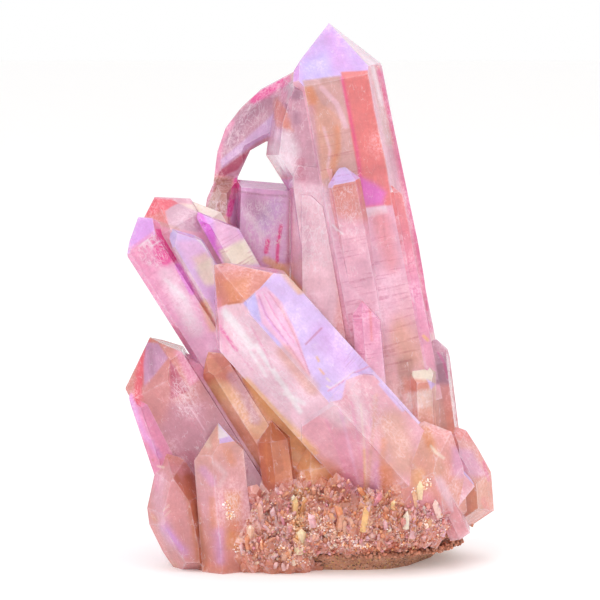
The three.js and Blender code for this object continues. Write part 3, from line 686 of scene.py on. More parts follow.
ZONES = list(zones(ZONE_ROWS))


def cover(spots, fade, half_width, line):
    """How far a zone covers each spot of the drawing, from 0 to 1."""
    line = np.reshape(line, (-1, 2)).astype(float)
    closed = half_width == 0
    starts, ends = (line, np.roll(line, -1, 0)) if closed else (line[:-1], line[1:])
    nearest = np.full(len(spots), np.inf)
    inside = np.zeros(len(spots), bool)
    for (ax, ay), (bx, by) in zip(starts, ends):
        dx, dy = bx - ax, by - ay
        share = np.clip(((spots[:, 0] - ax) * dx + (spots[:, 1] - ay) * dy) / (dx * dx + dy * dy), 0, 1)
        nearest = np.minimum(nearest, np.hypot(spots[:, 0] - ax - share * dx, spots[:, 1] - ay - share * dy))
        if closed and dy != 0:
            passes = (ay > spots[:, 1]) != (by > spots[:, 1])
            inside ^= passes & (spots[:, 0] < ax + (spots[:, 1] - ay) / dy * dx)
    off = np.where(inside, -nearest, nearest) - half_width
    t = np.clip(0.5 - off / fade, 0, 1)
    return t * t * (3 - 2 * t)


def near_zone(spots, crystal, line, of, reach):
    """Which spots lie in reach of a zone's box, on one of its crystals where both are known."""
    near = ((spots > line.min(0) - reach) & (spots < line.max(0) + reach)).all(1)
    return near if of is None or crystal is None else near & np.isin(crystal, of)


def crisp_edge(spots, crystal=None):
    """Which spots of the drawing lie by the edge of a crisp zone of their crystal's, or of any crystal's."""
    by_edge = np.zeros(len(spots), bool)
    for _, _, fade, half_width, line, of in ZONES:
        if fade > CRISP:
            continue
        band = fade + 2 * CRISP_MARGIN
        at = np.flatnonzero(near_zone(spots, crystal, line, of, band + half_width))
        share = cover(spots[at], band, half_width, line)
        by_edge[at] |= (share > 0) & (share < 1)
    return by_edge


def tints(points, owner, plane, away):
    """The colour of each corner of each triangle, from its crystal, its face and the zones.

    `away` says which corners face away from the front; of the zones, only the soft ones reach those.
    """
    colour = np.zeros((len(points), 3))
    crystal = plane[owner] // FACES_EACH
    rest = crystal < 0
    up = np.clip(points[:, 2:3] / LIGHT_REST_HEIGHT, 0, 1)
    colour[rest] = (np.array(DARK_REST) * (1 - up) + np.array(LIGHT_REST) * up)[rest]
    for i, (name, spec) in enumerate(CRYSTALS.items()):
        mine = crystal == i
        length = np.linalg.norm(np.subtract(spec.tip, spec.foot))
        share = ((spec.tip - points[mine]) @ AXES[name] / length)[:, None].clip(0, 1)
        tip_colour, middle, foot_colour = np.array(BODY[name], float)
        first = np.clip(share * 2, 0, 1)
        last = np.clip(share * 2 - 1, 0, 1)
        colour[mine] = (tip_colour * (1 - first) + middle * first) * (1 - last) + foot_colour * last
    for number, (name, kind, side, _, _) in enumerate(PLANES):
        own = FACE.get(name + (" pyramid" if kind else " prism"), {})
        if side in own:
            colour[plane[owner] == number] = own[side]
    spots = drawn(points)
    for shade, strength, fade, half_width, line, of in ZONES:
        near = near_zone(spots, crystal, line, of, fade + half_width) & (~away | (fade >= SOFT))
        at = np.flatnonzero(near)
        share = strength * cover(spots[at], fade, half_width, line)[:, None]
        colour[at] += share * (np.array(shade) - colour[at])
    stained = np.clip(1 - points[:, 2:3] / STAIN_TOP, 0, 1)
    return colour / 255 * (1 - stained * (1 - np.array(STAIN)))


def linear(colour):
    """Daylight colours from 0 to 1 as linear light."""
    c = np.asarray(colour, float)
    return np.where(c <= 0.04045, c / 12.92, ((c + 0.055) / 1.055) ** 2.4)


def attribute(mesh, name, kind, domain, values):
    """Adds a layer of values to a mesh."""
    layer = mesh.attributes.new(name, kind, domain)
    field = "color" if kind == "FLOAT_COLOR" else "vector" if kind == "FLOAT_VECTOR" else "value"
    stored = bool if kind == "BOOLEAN" else np.float32
    layer.data.foreach_set(field, np.ascontiguousarray(values, stored).ravel())


# ---- surfaces ----
LEAST_TURN = 0.05                   # a normal nearer than this to its crystal's axis gives nothing across it
FACE_SEED = 7.3                     # how far apart two faces lie in the noise, so that no two are alike


def across_of(found, normal):
    """The direction across a crystal on one of its faces, or a level one where the face is no crystal's."""
    axis = AXES[PLANES[found][0]] if found >= 0 else np.array((0.0, 0.0, 1.0))
    across = np.cross(axis, normal)
    return unit(across if np.linalg.norm(across) > LEAST_TURN else np.cross((0.0, 1.0, 0.0), normal))


def fine_edges(corners, loops):
    """The edges, as pairs of corners, that run by the edge of a crisp zone of colour."""
    around = [(a, b) for loop in loops for a, b in zip(loop, loop[1:] + loop[:1])]
    pairs = np.array(sorted({(min(pair), max(pair)) for pair in around}))
    starts, ends = corners[pairs[:, 0]], corners[pairs[:, 1]]
    parts = np.maximum(1, np.ceil(np.linalg.norm(ends - starts, axis=1) / GRID)).astype(int)
    pair = np.repeat(np.arange(len(pairs)), parts + 1)
    first = np.cumsum(parts + 1) - parts - 1
    share = ((np.arange(len(pair)) - first[pair]) / parts[pair])[:, None]
    by_edge = crisp_edge(drawn(starts[pair] + share * (ends - starts)[pair]))
    return {tuple(pairs[i]) for i in np.unique(pair[by_edge])}


class FineMesh:
    """A node's surface over a fine grid.

    Its corners carry `grain` (across, along, which face), `rim`, `tint`, `lined` and `veiled`.
    """

    def __init__(self, node, name):
        corners, faces = whole_faces(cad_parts[node].data)
        self.plane = np.array([plane_at(centre, normal) for _, normal, centre in faces])
        self.normals = np.array([unit(normal) for _, normal, _ in faces])
        self.across = np.array([across_of(p, n) for p, n in zip(self.plane, self.normals)])
        self.along = np.cross(self.normals, self.across)
        self.away = self.normals[:, 1] > AWAY
        loops = [loop for loop, _, _ in faces]
        surface = Surface(corners, fine_edges(corners, loops))
        for i, inner in enumerate(self.inner_points(corners, loops)):
            surface.fill(i, loops[i], self.normals[i], self.across[i], inner)
        self.points = np.array(surface.points)
        self.triangles = np.array(surface.triangles)
        self.owner = np.array(surface.owner)
        self.inside = surface.inside
        self.mesh = bpy.data.meshes.new(name)
        self.mesh.from_pydata(self.points * MM, [], self.triangles)
        spread = self.points[self.triangles.ravel()]
        face = np.repeat(self.owner, 3)
        across, along = ((spread * axes[face]).sum(1) for axes in (self.across, self.along))
        grain = np.stack([across, along, face * FACE_SEED], 1)
        attribute(self.mesh, "grain", "FLOAT_VECTOR", "CORNER", grain)
        # the rim is where the shader paints a highlight along the faces' edges
        attribute(self.mesh, "rim", "FLOAT", "CORNER", surface.rim)
        paint(self.mesh, tints(spread, face, self.plane, self.away[face]))
        for field, areas in (("lined", LINED), ("veiled", VEILED)):
            shown = np.zeros(len(spread))
            for strength, fade, half_width, *line in areas:
                shown = np.maximum(shown, strength * cover(drawn(spread), fade, half_width, line))
            attribute(self.mesh, field, "FLOAT", "CORNER", shown * (self.normals[face][:, 1] < 0))
        self.mesh.shade_smooth()
        sharpen(self.mesh, self.owner, self.normals)

    def inner_points(self, corners, loops):
        """The inner points of each face, across and along its crystal, finer by the crisp zones' edges."""
        steps = np.where(self.away, BACK_GRID, GRID)
        outlines, grids, spots = [], [], []
        for i, loop in enumerate(loops):
            space, flat = corners[loop], np.stack([self.across[i], self.along[i]])
            outlines.append(space @ flat.T)
            grids.append(lattice(outlines[i], steps[i]))
            spots.append(drawn(grids[i] @ flat + self.normals[i] * (space @ self.normals[i]).mean()))
        counts = [len(grid) for grid in grids]
        crisp = crisp_edge(np.concatenate(spots), np.repeat(self.plane // FACES_EACH, counts))
        crisp = np.split(crisp, np.cumsum(counts)[:-1])
        shift = (np.arange(FINER) - (FINER - 1) / 2) / FINER * GRID
        shift = np.stack([w.ravel() for w in np.meshgrid(shift, shift)], 1)
        for i, grid in enumerate(grids):
            by_edge = crisp[i] & ~self.away[i]
            coarse = grid[~by_edge]
            fine = (grid[by_edge][:, None] + shift[None]).reshape(-1, 2)
            clear = CLEAR_OF_EDGE * steps[i]
            yield np.concatenate([coarse[well_inside(coarse, outlines[i], clear)],
                                  fine[well_inside(fine, outlines[i], clear / FINER)]])

    def place(self, points):
        """Moves the points of the mesh."""
        self.mesh.vertices.foreach_set("co", (points * MM).ravel())
        self.mesh.update()


def paint(mesh, colour):
    """Gives each corner of the mesh its colour."""
    attribute(mesh, "tint", "FLOAT_COLOR", "CORNER", np.hstack([linear(colour), np.ones((len(colour), 1))]))


def sharpen(mesh, owner, normals):
    """Keeps an edge crisp where two whole faces meet at an angle; the relief inside a face stays smooth."""
    edge_of = np.empty(len(mesh.loops), np.int32)
    mesh.loops.foreach_get("edge_index", edge_of)
    face = np.repeat(owner, 3)
    order = np.argsort(edge_of, kind="stable")
    edge_of, face = edge_of[order], face[order]
    pair = np.flatnonzero(edge_of[1:] == edge_of[:-1])
    facing = (normals[face[pair]] * normals[face[pair + 1]]).sum(1)
    sharp = np.ones(len(mesh.edges), bool)
    sharp[edge_of[pair]] = facing < math.cos(SHARP_EDGE)
    attribute(mesh, "sharp_edge", "BOOLEAN", "EDGE", sharp)


def piece(name, mesh, slot, *replaced):
    """Puts a mesh in the scene as a piece of the object."""
    ob = bpy.data.objects.new(name, mesh)
    bpy.context.scene.collection.objects.link(ob)
    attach(ob, "root")
    if replaced:
        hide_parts(*replaced)
    return ob


STEP_RELIEF = 0.11                  # the deepest the growth steps across a crystal go in
SWELL_RELIEF = 0.10                 # and its long, shallow hollows
PYRAMID_STEPS = 0.35                # of the depth of the steps, on all but the prism faces
STEP_NOISE, SWELL_NOISE = (0.14, 0.8), (0.45, 0.09)     # how fine each is across and along the crystal
WANDER_NOISE, WANDER = (0.3, 0.2), 0.5      # the same for what bends the steps, and how far it does


def growth_relief(part):
    """Sinks the inner points of each face a little: growth steps across its crystal, hollows along it."""
    moved = part.points.copy()
    for i, face in part.inside:
        normal, q = part.normals[face], part.points[i]
        u, v = float(q @ part.across[face]), float(q @ part.along[face])
        seed = face * FACE_SEED
        wander = noise.noise(Vector((u * WANDER_NOISE[0], v * WANDER_NOISE[1], seed)))
        step = noise.noise(Vector((u * STEP_NOISE[0], v * STEP_NOISE[1] + WANDER * wander, seed)))
        swell = noise.noise(Vector((u * SWELL_NOISE[0], v * SWELL_NOISE[1], seed + 3)))
        on_prism = part.plane[face] >= 0 and PLANES[part.plane[face]][1] == 0
        depth = STEP_RELIEF * (0.5 - step) * (1.0 if on_prism else PYRAMID_STEPS)
        moved[i] = q - normal * max(depth + SWELL_RELIEF * (0.5 - swell), 0.0)
    part.place(moved)


body = FineMesh("quartz_cluster", "quartz")
growth_relief(body)
quartz = piece("quartz", body.mesh, "pink_quartz", "quartz_cluster")

# ---- the druse: small crystals crusted over the foot ----
# Where it is thick, as an outline in the front drawing, and how softly it ends there.
CRUST = (250, 512, 270, 492, 300, 484, 380, 484, 404, 504, 440, 508, 458, 534, 400, 552, 330, 558, 300, 568,
         252, 570, 242, 552)
CRUST_FADE = 20
# Where the sparkles gather, besides a few all over: (fade, half width, x, y, x, y ...).
GLITTER = [
    (6, 0, 292, 490, 304, 488, 308, 506, 298, 512), (6, 0, 288, 514, 296, 512, 296, 540),
    (8, 0, 304, 508, 322, 514, 336, 530, 372, 544, 360, 550, 326, 540, 306, 532),
    (8, 0, 284, 546, 306, 544, 308, 562, 286, 562), (5, 4, 410, 510, 424, 522, 446, 526),
    (5, 3, 226, 504, 232, 520), (5, 3, 236, 548, 244, 550), (5, 4, 380, 512, 394, 530, 402, 540),
    (5, 3, 258, 512, 268, 524), (6, 3, 416, 492, 428, 482), (5, 3, 276, 540, 282, 552),
]
# Clear gold splinters that stand in it: place in the drawing, lean to the right, length, girth, colour.
SPLINTERS = [
    (296, 512, 0.05, 5.6, 0.8, (255, 206, 150)), (300, 536, 0.12, 4.4, 0.9, (255, 222, 180)),
    (292, 500, -0.1, 3.4, 0.6, (255, 234, 200)), (303, 504, 0.3, 2.8, 0.6, (240, 170, 120)),
    (367, 516, 0.15, 4.0, 0.7, (250, 188, 120)), (361, 508, -0.15, 3.0, 0.7, (236, 160, 120)),
    (386, 512, 0.1, 3.4, 0.7, (226, 150, 120)), (390, 506, 0.25, 2.8, 0.5, (255, 212, 160)),
    (420, 486, 0.1, 2.6, 0.7, (255, 214, 170)), (412, 496, -0.2, 2.6, 0.7, (240, 176, 140)),
    (338, 516, 0.2, 3.0, 0.8, (232, 160, 130)), (436, 508, -0.35, 3.0, 0.7, (250, 200, 190)),
    (262, 510, -0.15, 3.2, 0.7, (240, 176, 160)), (252, 528, 0.1, 2.8, 0.8, (246, 196, 170)),
]
SPLINTER_UP = (-0.25, 1)            # how they point to the front and up
SPLINTER_REACH = 3                  # how near its place in the drawing a splinter's root is looked for
SIDEWAYS = 0.3                      # a face whose normal's Y is under this is seen from the front
UNDERCUT = -0.85                    # and one whose normal's Z is under this is left bare
BARE_FOOT = 1.0                     # the height up to which nothing grows, so that the cluster stands
BEHIND = 0.3                        # how thick the crust is at the back and the sides, against the front
CRUST_TOP, CRUST_THINS = 15.0, 8    # the height where it ends there, and over which it thins out
CRUST_LEFT = -16                    # and where it ends to the left
CLUSTER = 0.3                       # how fine the noise is that gathers the sparkles
SCATTERED, SPARSEST = 0.2, 0.01     # how thickly they lie outside the glitter, and the least of that noise
SHADES = [(PEACH, 5), (SHELL, 4), (ORANGE, 4), (PINK, 2), (BLUSH, 5), (GOLD, 1), (CANDY, 2), (CREAM, 2)]
# the sparkle crystals' colours: painted glints of gold, cream and white
GLINTS = [(GOLD, 3), (CREAM, 5), (WHITE, 6)]
# Lengths and girths run from the smallest to the biggest. `upright` turns the crystals from the surface's
# normal to upwards. `own_colour` says how much of a crystal's colour is its own shade, at least and at most.
Druse = namedtuple("Druse", "number lengths girths upright shades own_colour gathered")
DRUSES = {
    "sparkle_druse": Druse(3400, (0.05, 0.45), (0.08, 0.22), 0.3, GLINTS, (0.6, 1), True),
    "fine_druse": Druse(2500, (0.15, 1.3), (0.18, 0.42), 0.5, SHADES, (0.1, 0.7), False),
    "coarse_druse": Druse(80, (0.8, 3.2), (0.4, 0.8), 0.75, SHADES, (0.2, 0.8), False),
}
DRUSE_UP = (0, -0.1, 1)             # upwards for the druse: a little to the front
STRAY, LESS_STRAY = 0.3, 0.12       # how far crystals stray from their aim, and how much less if upright
GIRTHS_VARY = (0.8, 1.25)           # how much a crystal's girth is off from what its length would give

# A small crystal's shape, in parts of its girth.
RING_VARIES = (0.7, 1.25)           # how unevenly far the corners of its ring are from its axis
TIP_STRAYS = 0.25                   # how far the tip is off the axis
SHOULDER, SHOULDER_GIRTH = 1.15, 0.95       # how far the shoulders are below the tip, and how wide
ROOT = 1.3                          # how deep the root goes below its spot
CRYSTAL_FACES = [f for k in range(6) for m in [(k + 1) % 6]
                 for f in ((k, m, 6 + m), (k, 6 + m, 6 + k), (6 + k, 6 + m, 12))]
CRYSTAL_FACES += [(0, k + 1, k) for k in range(1, 5)]


def seats(part, rng, count, gathered):
    """Spots on the low, later-grown surfaces of the quartz, and their faces; `gathered` clusters them."""
    three = part.points[part.triangles]
    area = np.linalg.norm(np.cross(three[:, 1] - three[:, 0], three[:, 2] - three[:, 0]), axis=1) / 2
    middle = three.mean(1)
    spots = drawn(middle)
    n = part.normals[part.owner]
    seen, bare = n[:, 1] < SIDEWAYS, n[:, 2] <= UNDERCUT
    front = cover(spots, CRUST_FADE, 0, CRUST) * seen
    thinning = np.clip((CRUST_TOP - middle[:, 2]) / CRUST_THINS, 0, 1)
    behind = BEHIND * thinning * (n[:, 1] > SIDEWAYS) * (middle[:, 0] > CRUST_LEFT)
    wanted = np.maximum(front, behind) * (part.plane[part.owner] < 0) * (middle[:, 2] > BARE_FOOT) * ~bare
    if gathered:
        near = np.flatnonzero(wanted)
        wanted[near] *= [SCATTERED * max(noise.noise(Vector(q) * CLUSTER), SPARSEST) for q in middle[near]]
        for row in GLITTER:
            wanted = np.maximum(wanted, cover(spots, *row[:2], row[2:]) * seen * ~bare)
    chosen = rng.choice(len(three), count, p=area * wanted / (area * wanted).sum())
    share = rng.random((count, 2))
    over = share.sum(1) > 1
    share[over] = 1 - share[over]
    spot = three[chosen, 0] + share[:, :1] * (three[chosen, 1] - three[chosen, 0])
    return spot + share[:, 1:] * (three[chosen, 2] - three[chosen, 0]), part.owner[chosen]


def points_of(spot, aim, length, girth, rng):
    """The thirteen points of each six-sided crystal: root ring, shoulder ring and tip."""
    count = len(spot)
    side = np.cross(aim, rng.normal(0, 1, (count, 3)))
    side /= np.linalg.norm(side, axis=1)[:, None]
    other = np.cross(aim, side)
    turn = np.arange(6) * math.pi / 3
    ring = side[:, None] * np.cos(turn)[None, :, None] + other[:, None] * np.sin(turn)[None, :, None]
    ring = ring * (girth[:, None] * rng.uniform(*RING_VARIES, (count, 6)))[:, :, None]
    tip = spot + aim * length[:, None]
    lean = ring.mean(1) + rng.normal(0, TIP_STRAYS, (count, 3)) * girth[:, None]
    shoulder = tip[:, None] - aim[:, None] * (girth * SHOULDER)[:, None, None] + ring * SHOULDER_GIRTH
    root = spot[:, None] - aim[:, None] * (girth * ROOT)[:, None, None] + ring
    return np.concatenate([root, shoulder, (tip + lean)[:, None]], 1)


def in_box(solid):
    """Which of the small crystals stay clear of the sides of the frame's box."""
    low, high = np.array(cad_low) / MM + BOX_MARGIN, np.array(cad_high) / MM - BOX_MARGIN
    return ((solid > low) & (solid < high)).all((1, 2))


def shades_for(count, shades, rng):
    """A colour for each of `count` crystals, from a list of colours and how often each is taken."""
    palette, odds = np.array([c for c, _ in shades], float), np.array([w for _, w in shades])
    return palette[rng.choice(len(palette), count, p=odds / odds.sum())] / 255


def small_crystals(name, solid, colour, slot):
    """Small crystals as one piece, from the points and the colour of each."""
    mesh = bpy.data.meshes.new(name)
    faces = np.arange(len(solid))[:, None, None] * solid.shape[1] + np.array(CRYSTAL_FACES)[None]
    mesh.from_pydata(solid.reshape(-1, 3) * MM, [], faces.reshape(-1, 3))
    paint(mesh, np.repeat(colour, len(CRYSTAL_FACES) * 3, 0))
    return piece(name, mesh, slot)


def drusy(name, kind, part, rng):
    """One kind of druse as one piece, in the colours of its place and its own."""
    count = kind.number
    spot, face = seats(part, rng, count, kind.gathered)
    aim = part.normals[face] * (1 - kind.upright) + np.array(DRUSE_UP) * kind.upright
    stray = rng.normal(0, STRAY - LESS_STRAY * kind.upright, (count, 3))
    aim = aim / np.linalg.norm(aim, axis=1)[:, None] + stray
    aim /= np.linalg.norm(aim, axis=1)[:, None]
    size = rng.random(count) ** 2
    length, girth = (least + (most - least) * size for least, most in (kind.lengths, kind.girths))
    girth = girth * rng.uniform(*GIRTHS_VARY, count)
    solid = points_of(spot, aim, length, girth, rng)
    kept = in_box(solid)
    solid, spot, face = solid[kept], spot[kept], face[kept]
    own = shades_for(len(solid), kind.shades, rng)
    mix = rng.uniform(*kind.own_colour, len(solid))[:, None]
    ground = tints(spot, face, part.plane, part.away[face])
    return small_crystals(name, solid, ground * (1 - mix) + own * mix, "pink_quartz")


def splinters(name, part, rng):
    """The gold splinters as one piece, each rooted in whatever stands foremost at its place."""
    middle = part.points[part.triangles].mean(1)
    spots = drawn(middle)
    x, y, lean, length, girth = (np.array([spec[k] for spec in SPLINTERS]) for k in range(5))
    near = np.hypot(spots[:, :1] - x, spots[:, 1:] - y) < SPLINTER_REACH
    roots = middle[np.where(near, middle[:, 1:2], np.inf).argmin(0)]
    aims = np.array([unit((to_right, *SPLINTER_UP)) for to_right in lean])
    solid = points_of(roots - aims * length[:, None] / 2, aims, length, girth, rng)
    return small_crystals(name, solid, np.array([spec[5] for spec in SPLINTERS]) / 255, "pink_quartz")


chance = np.random.default_rng(SEED)
crusts = [drusy(name, kind, body, chance) for name, kind in DRUSES.items()]
crusts.append(splinters("gold_splinters", body, chance))

# ---- the rind of host rock ----
ROCK_RELIEF = 0.6                   # the deepest its grains and pits go in
ROCK_EVEN = 0.6                     # the height over which they fade out towards its top and its foot
ROCK_LUMPS, ROCK_GRAINS = 0.55, 2.3         # how many lumps and how many grains there are to a millimetre
LUMPS_DEPTH, GRAINS_DEPTH = 0.42, 0.2       # and how much of the relief each makes
SEAM_GRAINS = 900                   # grains of rock along its upper edge, where the quartz grew on it
SEAM_GIRTH, SEAM_LENGTH = (0.18, 0.42), 0.6     # their size, and their length against it
SEAM_BELOW, SEAM_ABOVE = 0.5, 0.35  # how far below and above the edge they lie
SEAM_STRAY = 0.3                    # how far off the rock's surface
SEAM_LEVEL = 0.95                   # a face whose normal's Z is over this is level, and not at the edge
SEAM_SHADES = [((176, 116, 92), 5), ((200, 140, 116), 4), ((222, 150, 120), 3), ((120, 78, 62), 1)]


def rock_relief(part):
    """Pits and grains: every point of the rock but those it rests on goes in a little."""
    outward = np.zeros_like(part.points)
    np.add.at(outward, part.triangles.ravel(), np.repeat(part.normals[part.owner], 3, 0))
    outward /= np.maximum(np.linalg.norm(outward, axis=1), NEVER_ZERO)[:, None]
    coarse = np.array([noise.fractal(Vector(q) * ROCK_LUMPS, 1.0, 2.0, 4) for q in part.points])
    grains = np.array([noise.noise(Vector(q) * ROCK_GRAINS) for q in part.points])
    depth = np.clip(0.5 - LUMPS_DEPTH * coarse - GRAINS_DEPTH * grains, 0, 1) * ROCK_RELIEF
    up = part.points[:, 2]
    depth *= np.clip((up.max() - up) / ROCK_EVEN, 0, 1) * np.clip(up / ROCK_EVEN, 0, 1)
    part.place(part.points - outward * depth[:, None])


def seam_grains(name, part, rng):
    """Angular grains along the rock's upper edge, half in the rock and half over the quartz above it."""
    top = part.points[:, 2].max()
    middle, n = part.points[part.triangles].mean(1), part.normals[part.owner]
    along_edge = np.flatnonzero((middle[:, 2] > top - SEAM_BELOW) & (np.abs(n[:, 2]) < SEAM_LEVEL))
    spot = middle[rng.choice(along_edge, SEAM_GRAINS)]
    spot = spot + rng.uniform(-SEAM_STRAY, SEAM_STRAY, (SEAM_GRAINS, 3))
    spot[:, 2] = top + rng.uniform(-SEAM_BELOW, SEAM_ABOVE, SEAM_GRAINS)
    aim = rng.normal(0, 1, (SEAM_GRAINS, 3))
    aim /= np.linalg.norm(aim, axis=1)[:, None]
    girth = rng.uniform(*SEAM_GIRTH, SEAM_GRAINS)
    solid = points_of(spot, aim, girth * SEAM_LENGTH, girth, rng)
    solid = solid[in_box(solid)]
    return small_crystals(name, solid, shades_for(len(solid), SEAM_SHADES, rng), "host_rock")


rind = FineMesh("matrix_rind", "host_rock_rind")
seam = seam_grains("rock_seam_grains", rind, chance)
rock_relief(rind)
rock = piece("host_rock_rind", rind.mesh, "host_rock", "matrix_rind")


class Nodes:
    """A material's node tree, with short calls that add and link its nodes."""

    def __init__(self, name):
        self.material = bpy.data.materials.new(name)
        self.material.use_nodes = True
        self.tree = self.material.node_tree
        self.shader = self.tree.nodes["Principled BSDF"]
        self.place = self.add("ShaderNodeTexCoord").outputs["Object"]

    def add(self, kind, inputs=(), **settings):
        node = self.tree.nodes.new(kind)
        for key, value in settings.items():
            setattr(node, key, value)
        for key, value in dict(inputs).items():
            self.put(node.inputs[key], value)
        return node

    def put(self, socket, value):
        if hasattr(value, "is_output"):
            self.tree.links.new(value, socket)
        else:
            socket.default_value = value

    def surface(self, inputs):
        """Sets sockets of the shader itself."""
        for name, value in inputs.items():
            self.put(self.shader.inputs[name], value)

    def read(self, name, output="Vector"):
        return self.add("ShaderNodeAttribute", attribute_name=name).outputs[output]

    def math(self, how, a, b):
        return self.add("ShaderNodeMath", {0: a, 1: b}, operation=how).outputs[0]

    def product(self, a, b):
        return self.math("MULTIPLY", a, b)

    def vector(self, how, a, b):
        second = "Scale" if how == "SCALE" else 1
        return self.add("ShaderNodeVectorMath", {0: a, second: b}, operation=how).outputs[0]

    def noise(self, vector, scale, detail=2.0, roughness=0.5, distortion=0.0, output="Fac"):
        inputs = {"Vector": vector, "Scale": scale, "Detail": detail, "Roughness": roughness}
        return self.add("ShaderNodeTexNoise", {**inputs, "Distortion": distortion}).outputs[output]

    def between(self, value, low, high, to_low=0.0, to_high=1.0):
        """What runs from `to_low` to `to_high` as the value runs from `low` to `high`."""
        return self.add("ShaderNodeMapRange", {"Value": value, "From Min": low, "From Max": high,
                                               "To Min": to_low, "To Max": to_high}).outputs["Result"]

    def blend(self, share, a, b):
        return self.add("ShaderNodeMix", {0: share, 6: a, 7: b}, data_type="RGBA").outputs[2]

    def bump(self, strength, distance, height):
        return self.add("ShaderNodeBump", {"Strength": strength, "Distance": distance,
                                           "Height": height}).outputs["Normal"]


QUARTZ_IOR = 1.54                   # the index of refraction


def quartz_material():
    """Pink quartz: see-through in part, lined across each crystal, veiled along it, with an aura coat."""
    n = Nodes("quartz")
    grain = n.read("grain")

    def along_grain(across, along, *detail):
        return n.noise(n.vector("MULTIPLY", grain, (across, along, 1.0)), 1.0, *detail)

    striae = along_grain(0.14, 2.2, 3.0, 0.6, 0.4)
    lines = along_grain(0.12, 1.7, 2.0, 0.5, 0.3)
    fibres = along_grain(2.6, 0.16, 3.0, 0.6, 0.8)
    flecks = along_grain(1.5, 0.9, 7.0, 0.75, 1.4)
    mottle = n.noise(n.place, 420.0, 8.0, 0.72, 0.6)
    fine = n.noise(n.place, 1900.0, 4.0, 0.65)
    cloud = n.noise(n.place, 120.0, 3.0, 0.55)
    light = n.product(n.between(mottle, 0.32, 0.68, 0.93, 1.06), n.between(fine, 0.3, 0.7, 0.93, 1.06))
    light = n.product(light, n.between(fibres, 0.35, 0.65, 0.975, 1.02))
    colour = n.vector("SCALE", n.read("tint", "Color"), light)
    # dark growth lines across the crystal
    dark = n.vector("MULTIPLY", colour, (0.72, 0.45, 0.55))
    line = n.product(n.between(lines, 0.44, 0.36), n.between(mottle, 0.38, 0.55))
    colour = n.blend(n.product(line, n.between(n.read("lined", "Fac"), 0, 1, 0.06, 0.75)), colour, dark)
    # healed cracks: thin bright wisps along the crystal, only inside the milky clouds
    bent = n.vector("MULTIPLY", grain, (0.9, 0.3, 1.0))
    bent = n.vector("ADD", bent, n.vector("SCALE", n.noise(bent, 0.7, 3.0, output="Color"), 1.6))
    wisps = n.add("ShaderNodeTexVoronoi", {"Vector": bent, "Scale": 1.0},
                  feature="DISTANCE_TO_EDGE").outputs["Distance"]
    wisp = n.product(n.between(wisps, 0.03, 0.0), n.between(mottle, 0.5, 0.6))
    colour = n.blend(n.product(wisp, 0.5), colour, (1.0, 0.93, 0.95, 1))
    # veils and scratches
    veil = n.math("MAXIMUM", n.between(flecks, 0.5, 0.62), n.between(wisps, 0.05, 0.0))
    veil = n.product(veil, n.between(n.read("veiled", "Fac"), 0, 1, 0.0, 0.6))
    colour = n.blend(veil, colour, (1.0, 0.9, 0.95, 1))
    # milky clouds
    milky = n.product(n.between(cloud, 0.5, 0.64), n.between(fine, 0.42, 0.62, 0.0, 0.3))
    colour = n.blend(milky, colour, (1.0, 0.9, 0.94, 1))
    # pale edges: a painted highlight along the faces' edges
    rim = n.math("POWER", n.read("rim", "Fac"), 5.0)
    rim = n.product(rim, n.between(mottle, 0.4, 0.6, 0.05, 0.4))
    colour = n.blend(rim, colour, (1.0, 0.76, 0.84, 1))
    # the relief is striae and mottling; the coat is the thin aura film
    relief = n.math("ADD", n.product(striae, 0.5), n.product(mottle, 0.5))
    n.surface({"Base Color": colour, "Roughness": n.between(mottle, 0.35, 0.68, 0.05, 0.22),
               "Transmission Weight": n.between(cloud, 0.35, 0.65, 0.36, 0.12), "IOR": QUARTZ_IOR,
               "Subsurface Weight": 0.3, "Subsurface Radius": (1.0, 0.55, 0.6), "Subsurface Scale": 0.004,
               "Coat Weight": 0.3, "Coat Roughness": 0.05, "Coat IOR": 1.6, "Coat Tint": (0.95, 0.88, 1.0, 1),
               "Normal": n.bump(0.6, 0.00018, relief)})
    return n.material


def speckled(name, scale, detail, dim, bright):
    """A material of the mesh's own tint, from dim to bright in specks; and the specks, from 0 to 1."""
    n = Nodes(name)
    specks = n.between(n.noise(n.place, scale, detail, 0.6), 0.3, 0.7)
    light = n.between(specks, 0, 1, dim, bright)
    n.surface({"Base Color": n.vector("SCALE", n.read("tint", "Color"), light)})
    return n, specks


def druse_material():
    """The small crystals: clearer than the ground, and painted brighter than it, past their own tint, so that
    they glitter: painted light that also lifts the shade between them.
    """
    n, specks = speckled("druse", 900.0, 2.0, 0.98, 1.18)
    n.surface({"Roughness": n.between(specks, 0, 1, 0.03, 0.12), "IOR": QUARTZ_IOR,
               "Transmission Weight": n.between(specks, 0, 1, 0.3, 0.1),
               "Subsurface Weight": 0.4, "Subsurface Radius": (1.0, 0.6, 0.5), "Subsurface Scale": 0.002,
               "Coat Weight": 0.6, "Coat Roughness": 0.03, "Coat IOR": 1.7})
    return n.material


def glint_material():
    """The smallest crystals: bright and polished, so that each catches the light; their brightness, past
    their own tint, is a painted glint.
    """
    n, _ = speckled("glint", 1500.0, 2.0, 1.0, 1.3)
    n.surface({"Roughness": 0.12, "IOR": QUARTZ_IOR, "Transmission Weight": 0.05,
               "Coat Weight": 1.0, "Coat Roughness": 0.04, "Coat IOR": 1.8})
    return n.material


def grain_material():
    """Loose-looking grains of the rock, each of its own brown."""
    n, specks = speckled("rock_grains", 2600.0, 3.0, 0.8, 1.15)
    n.surface({"Roughness": n.between(specks, 0, 1, 0.8, 0.45)})
    return n.material


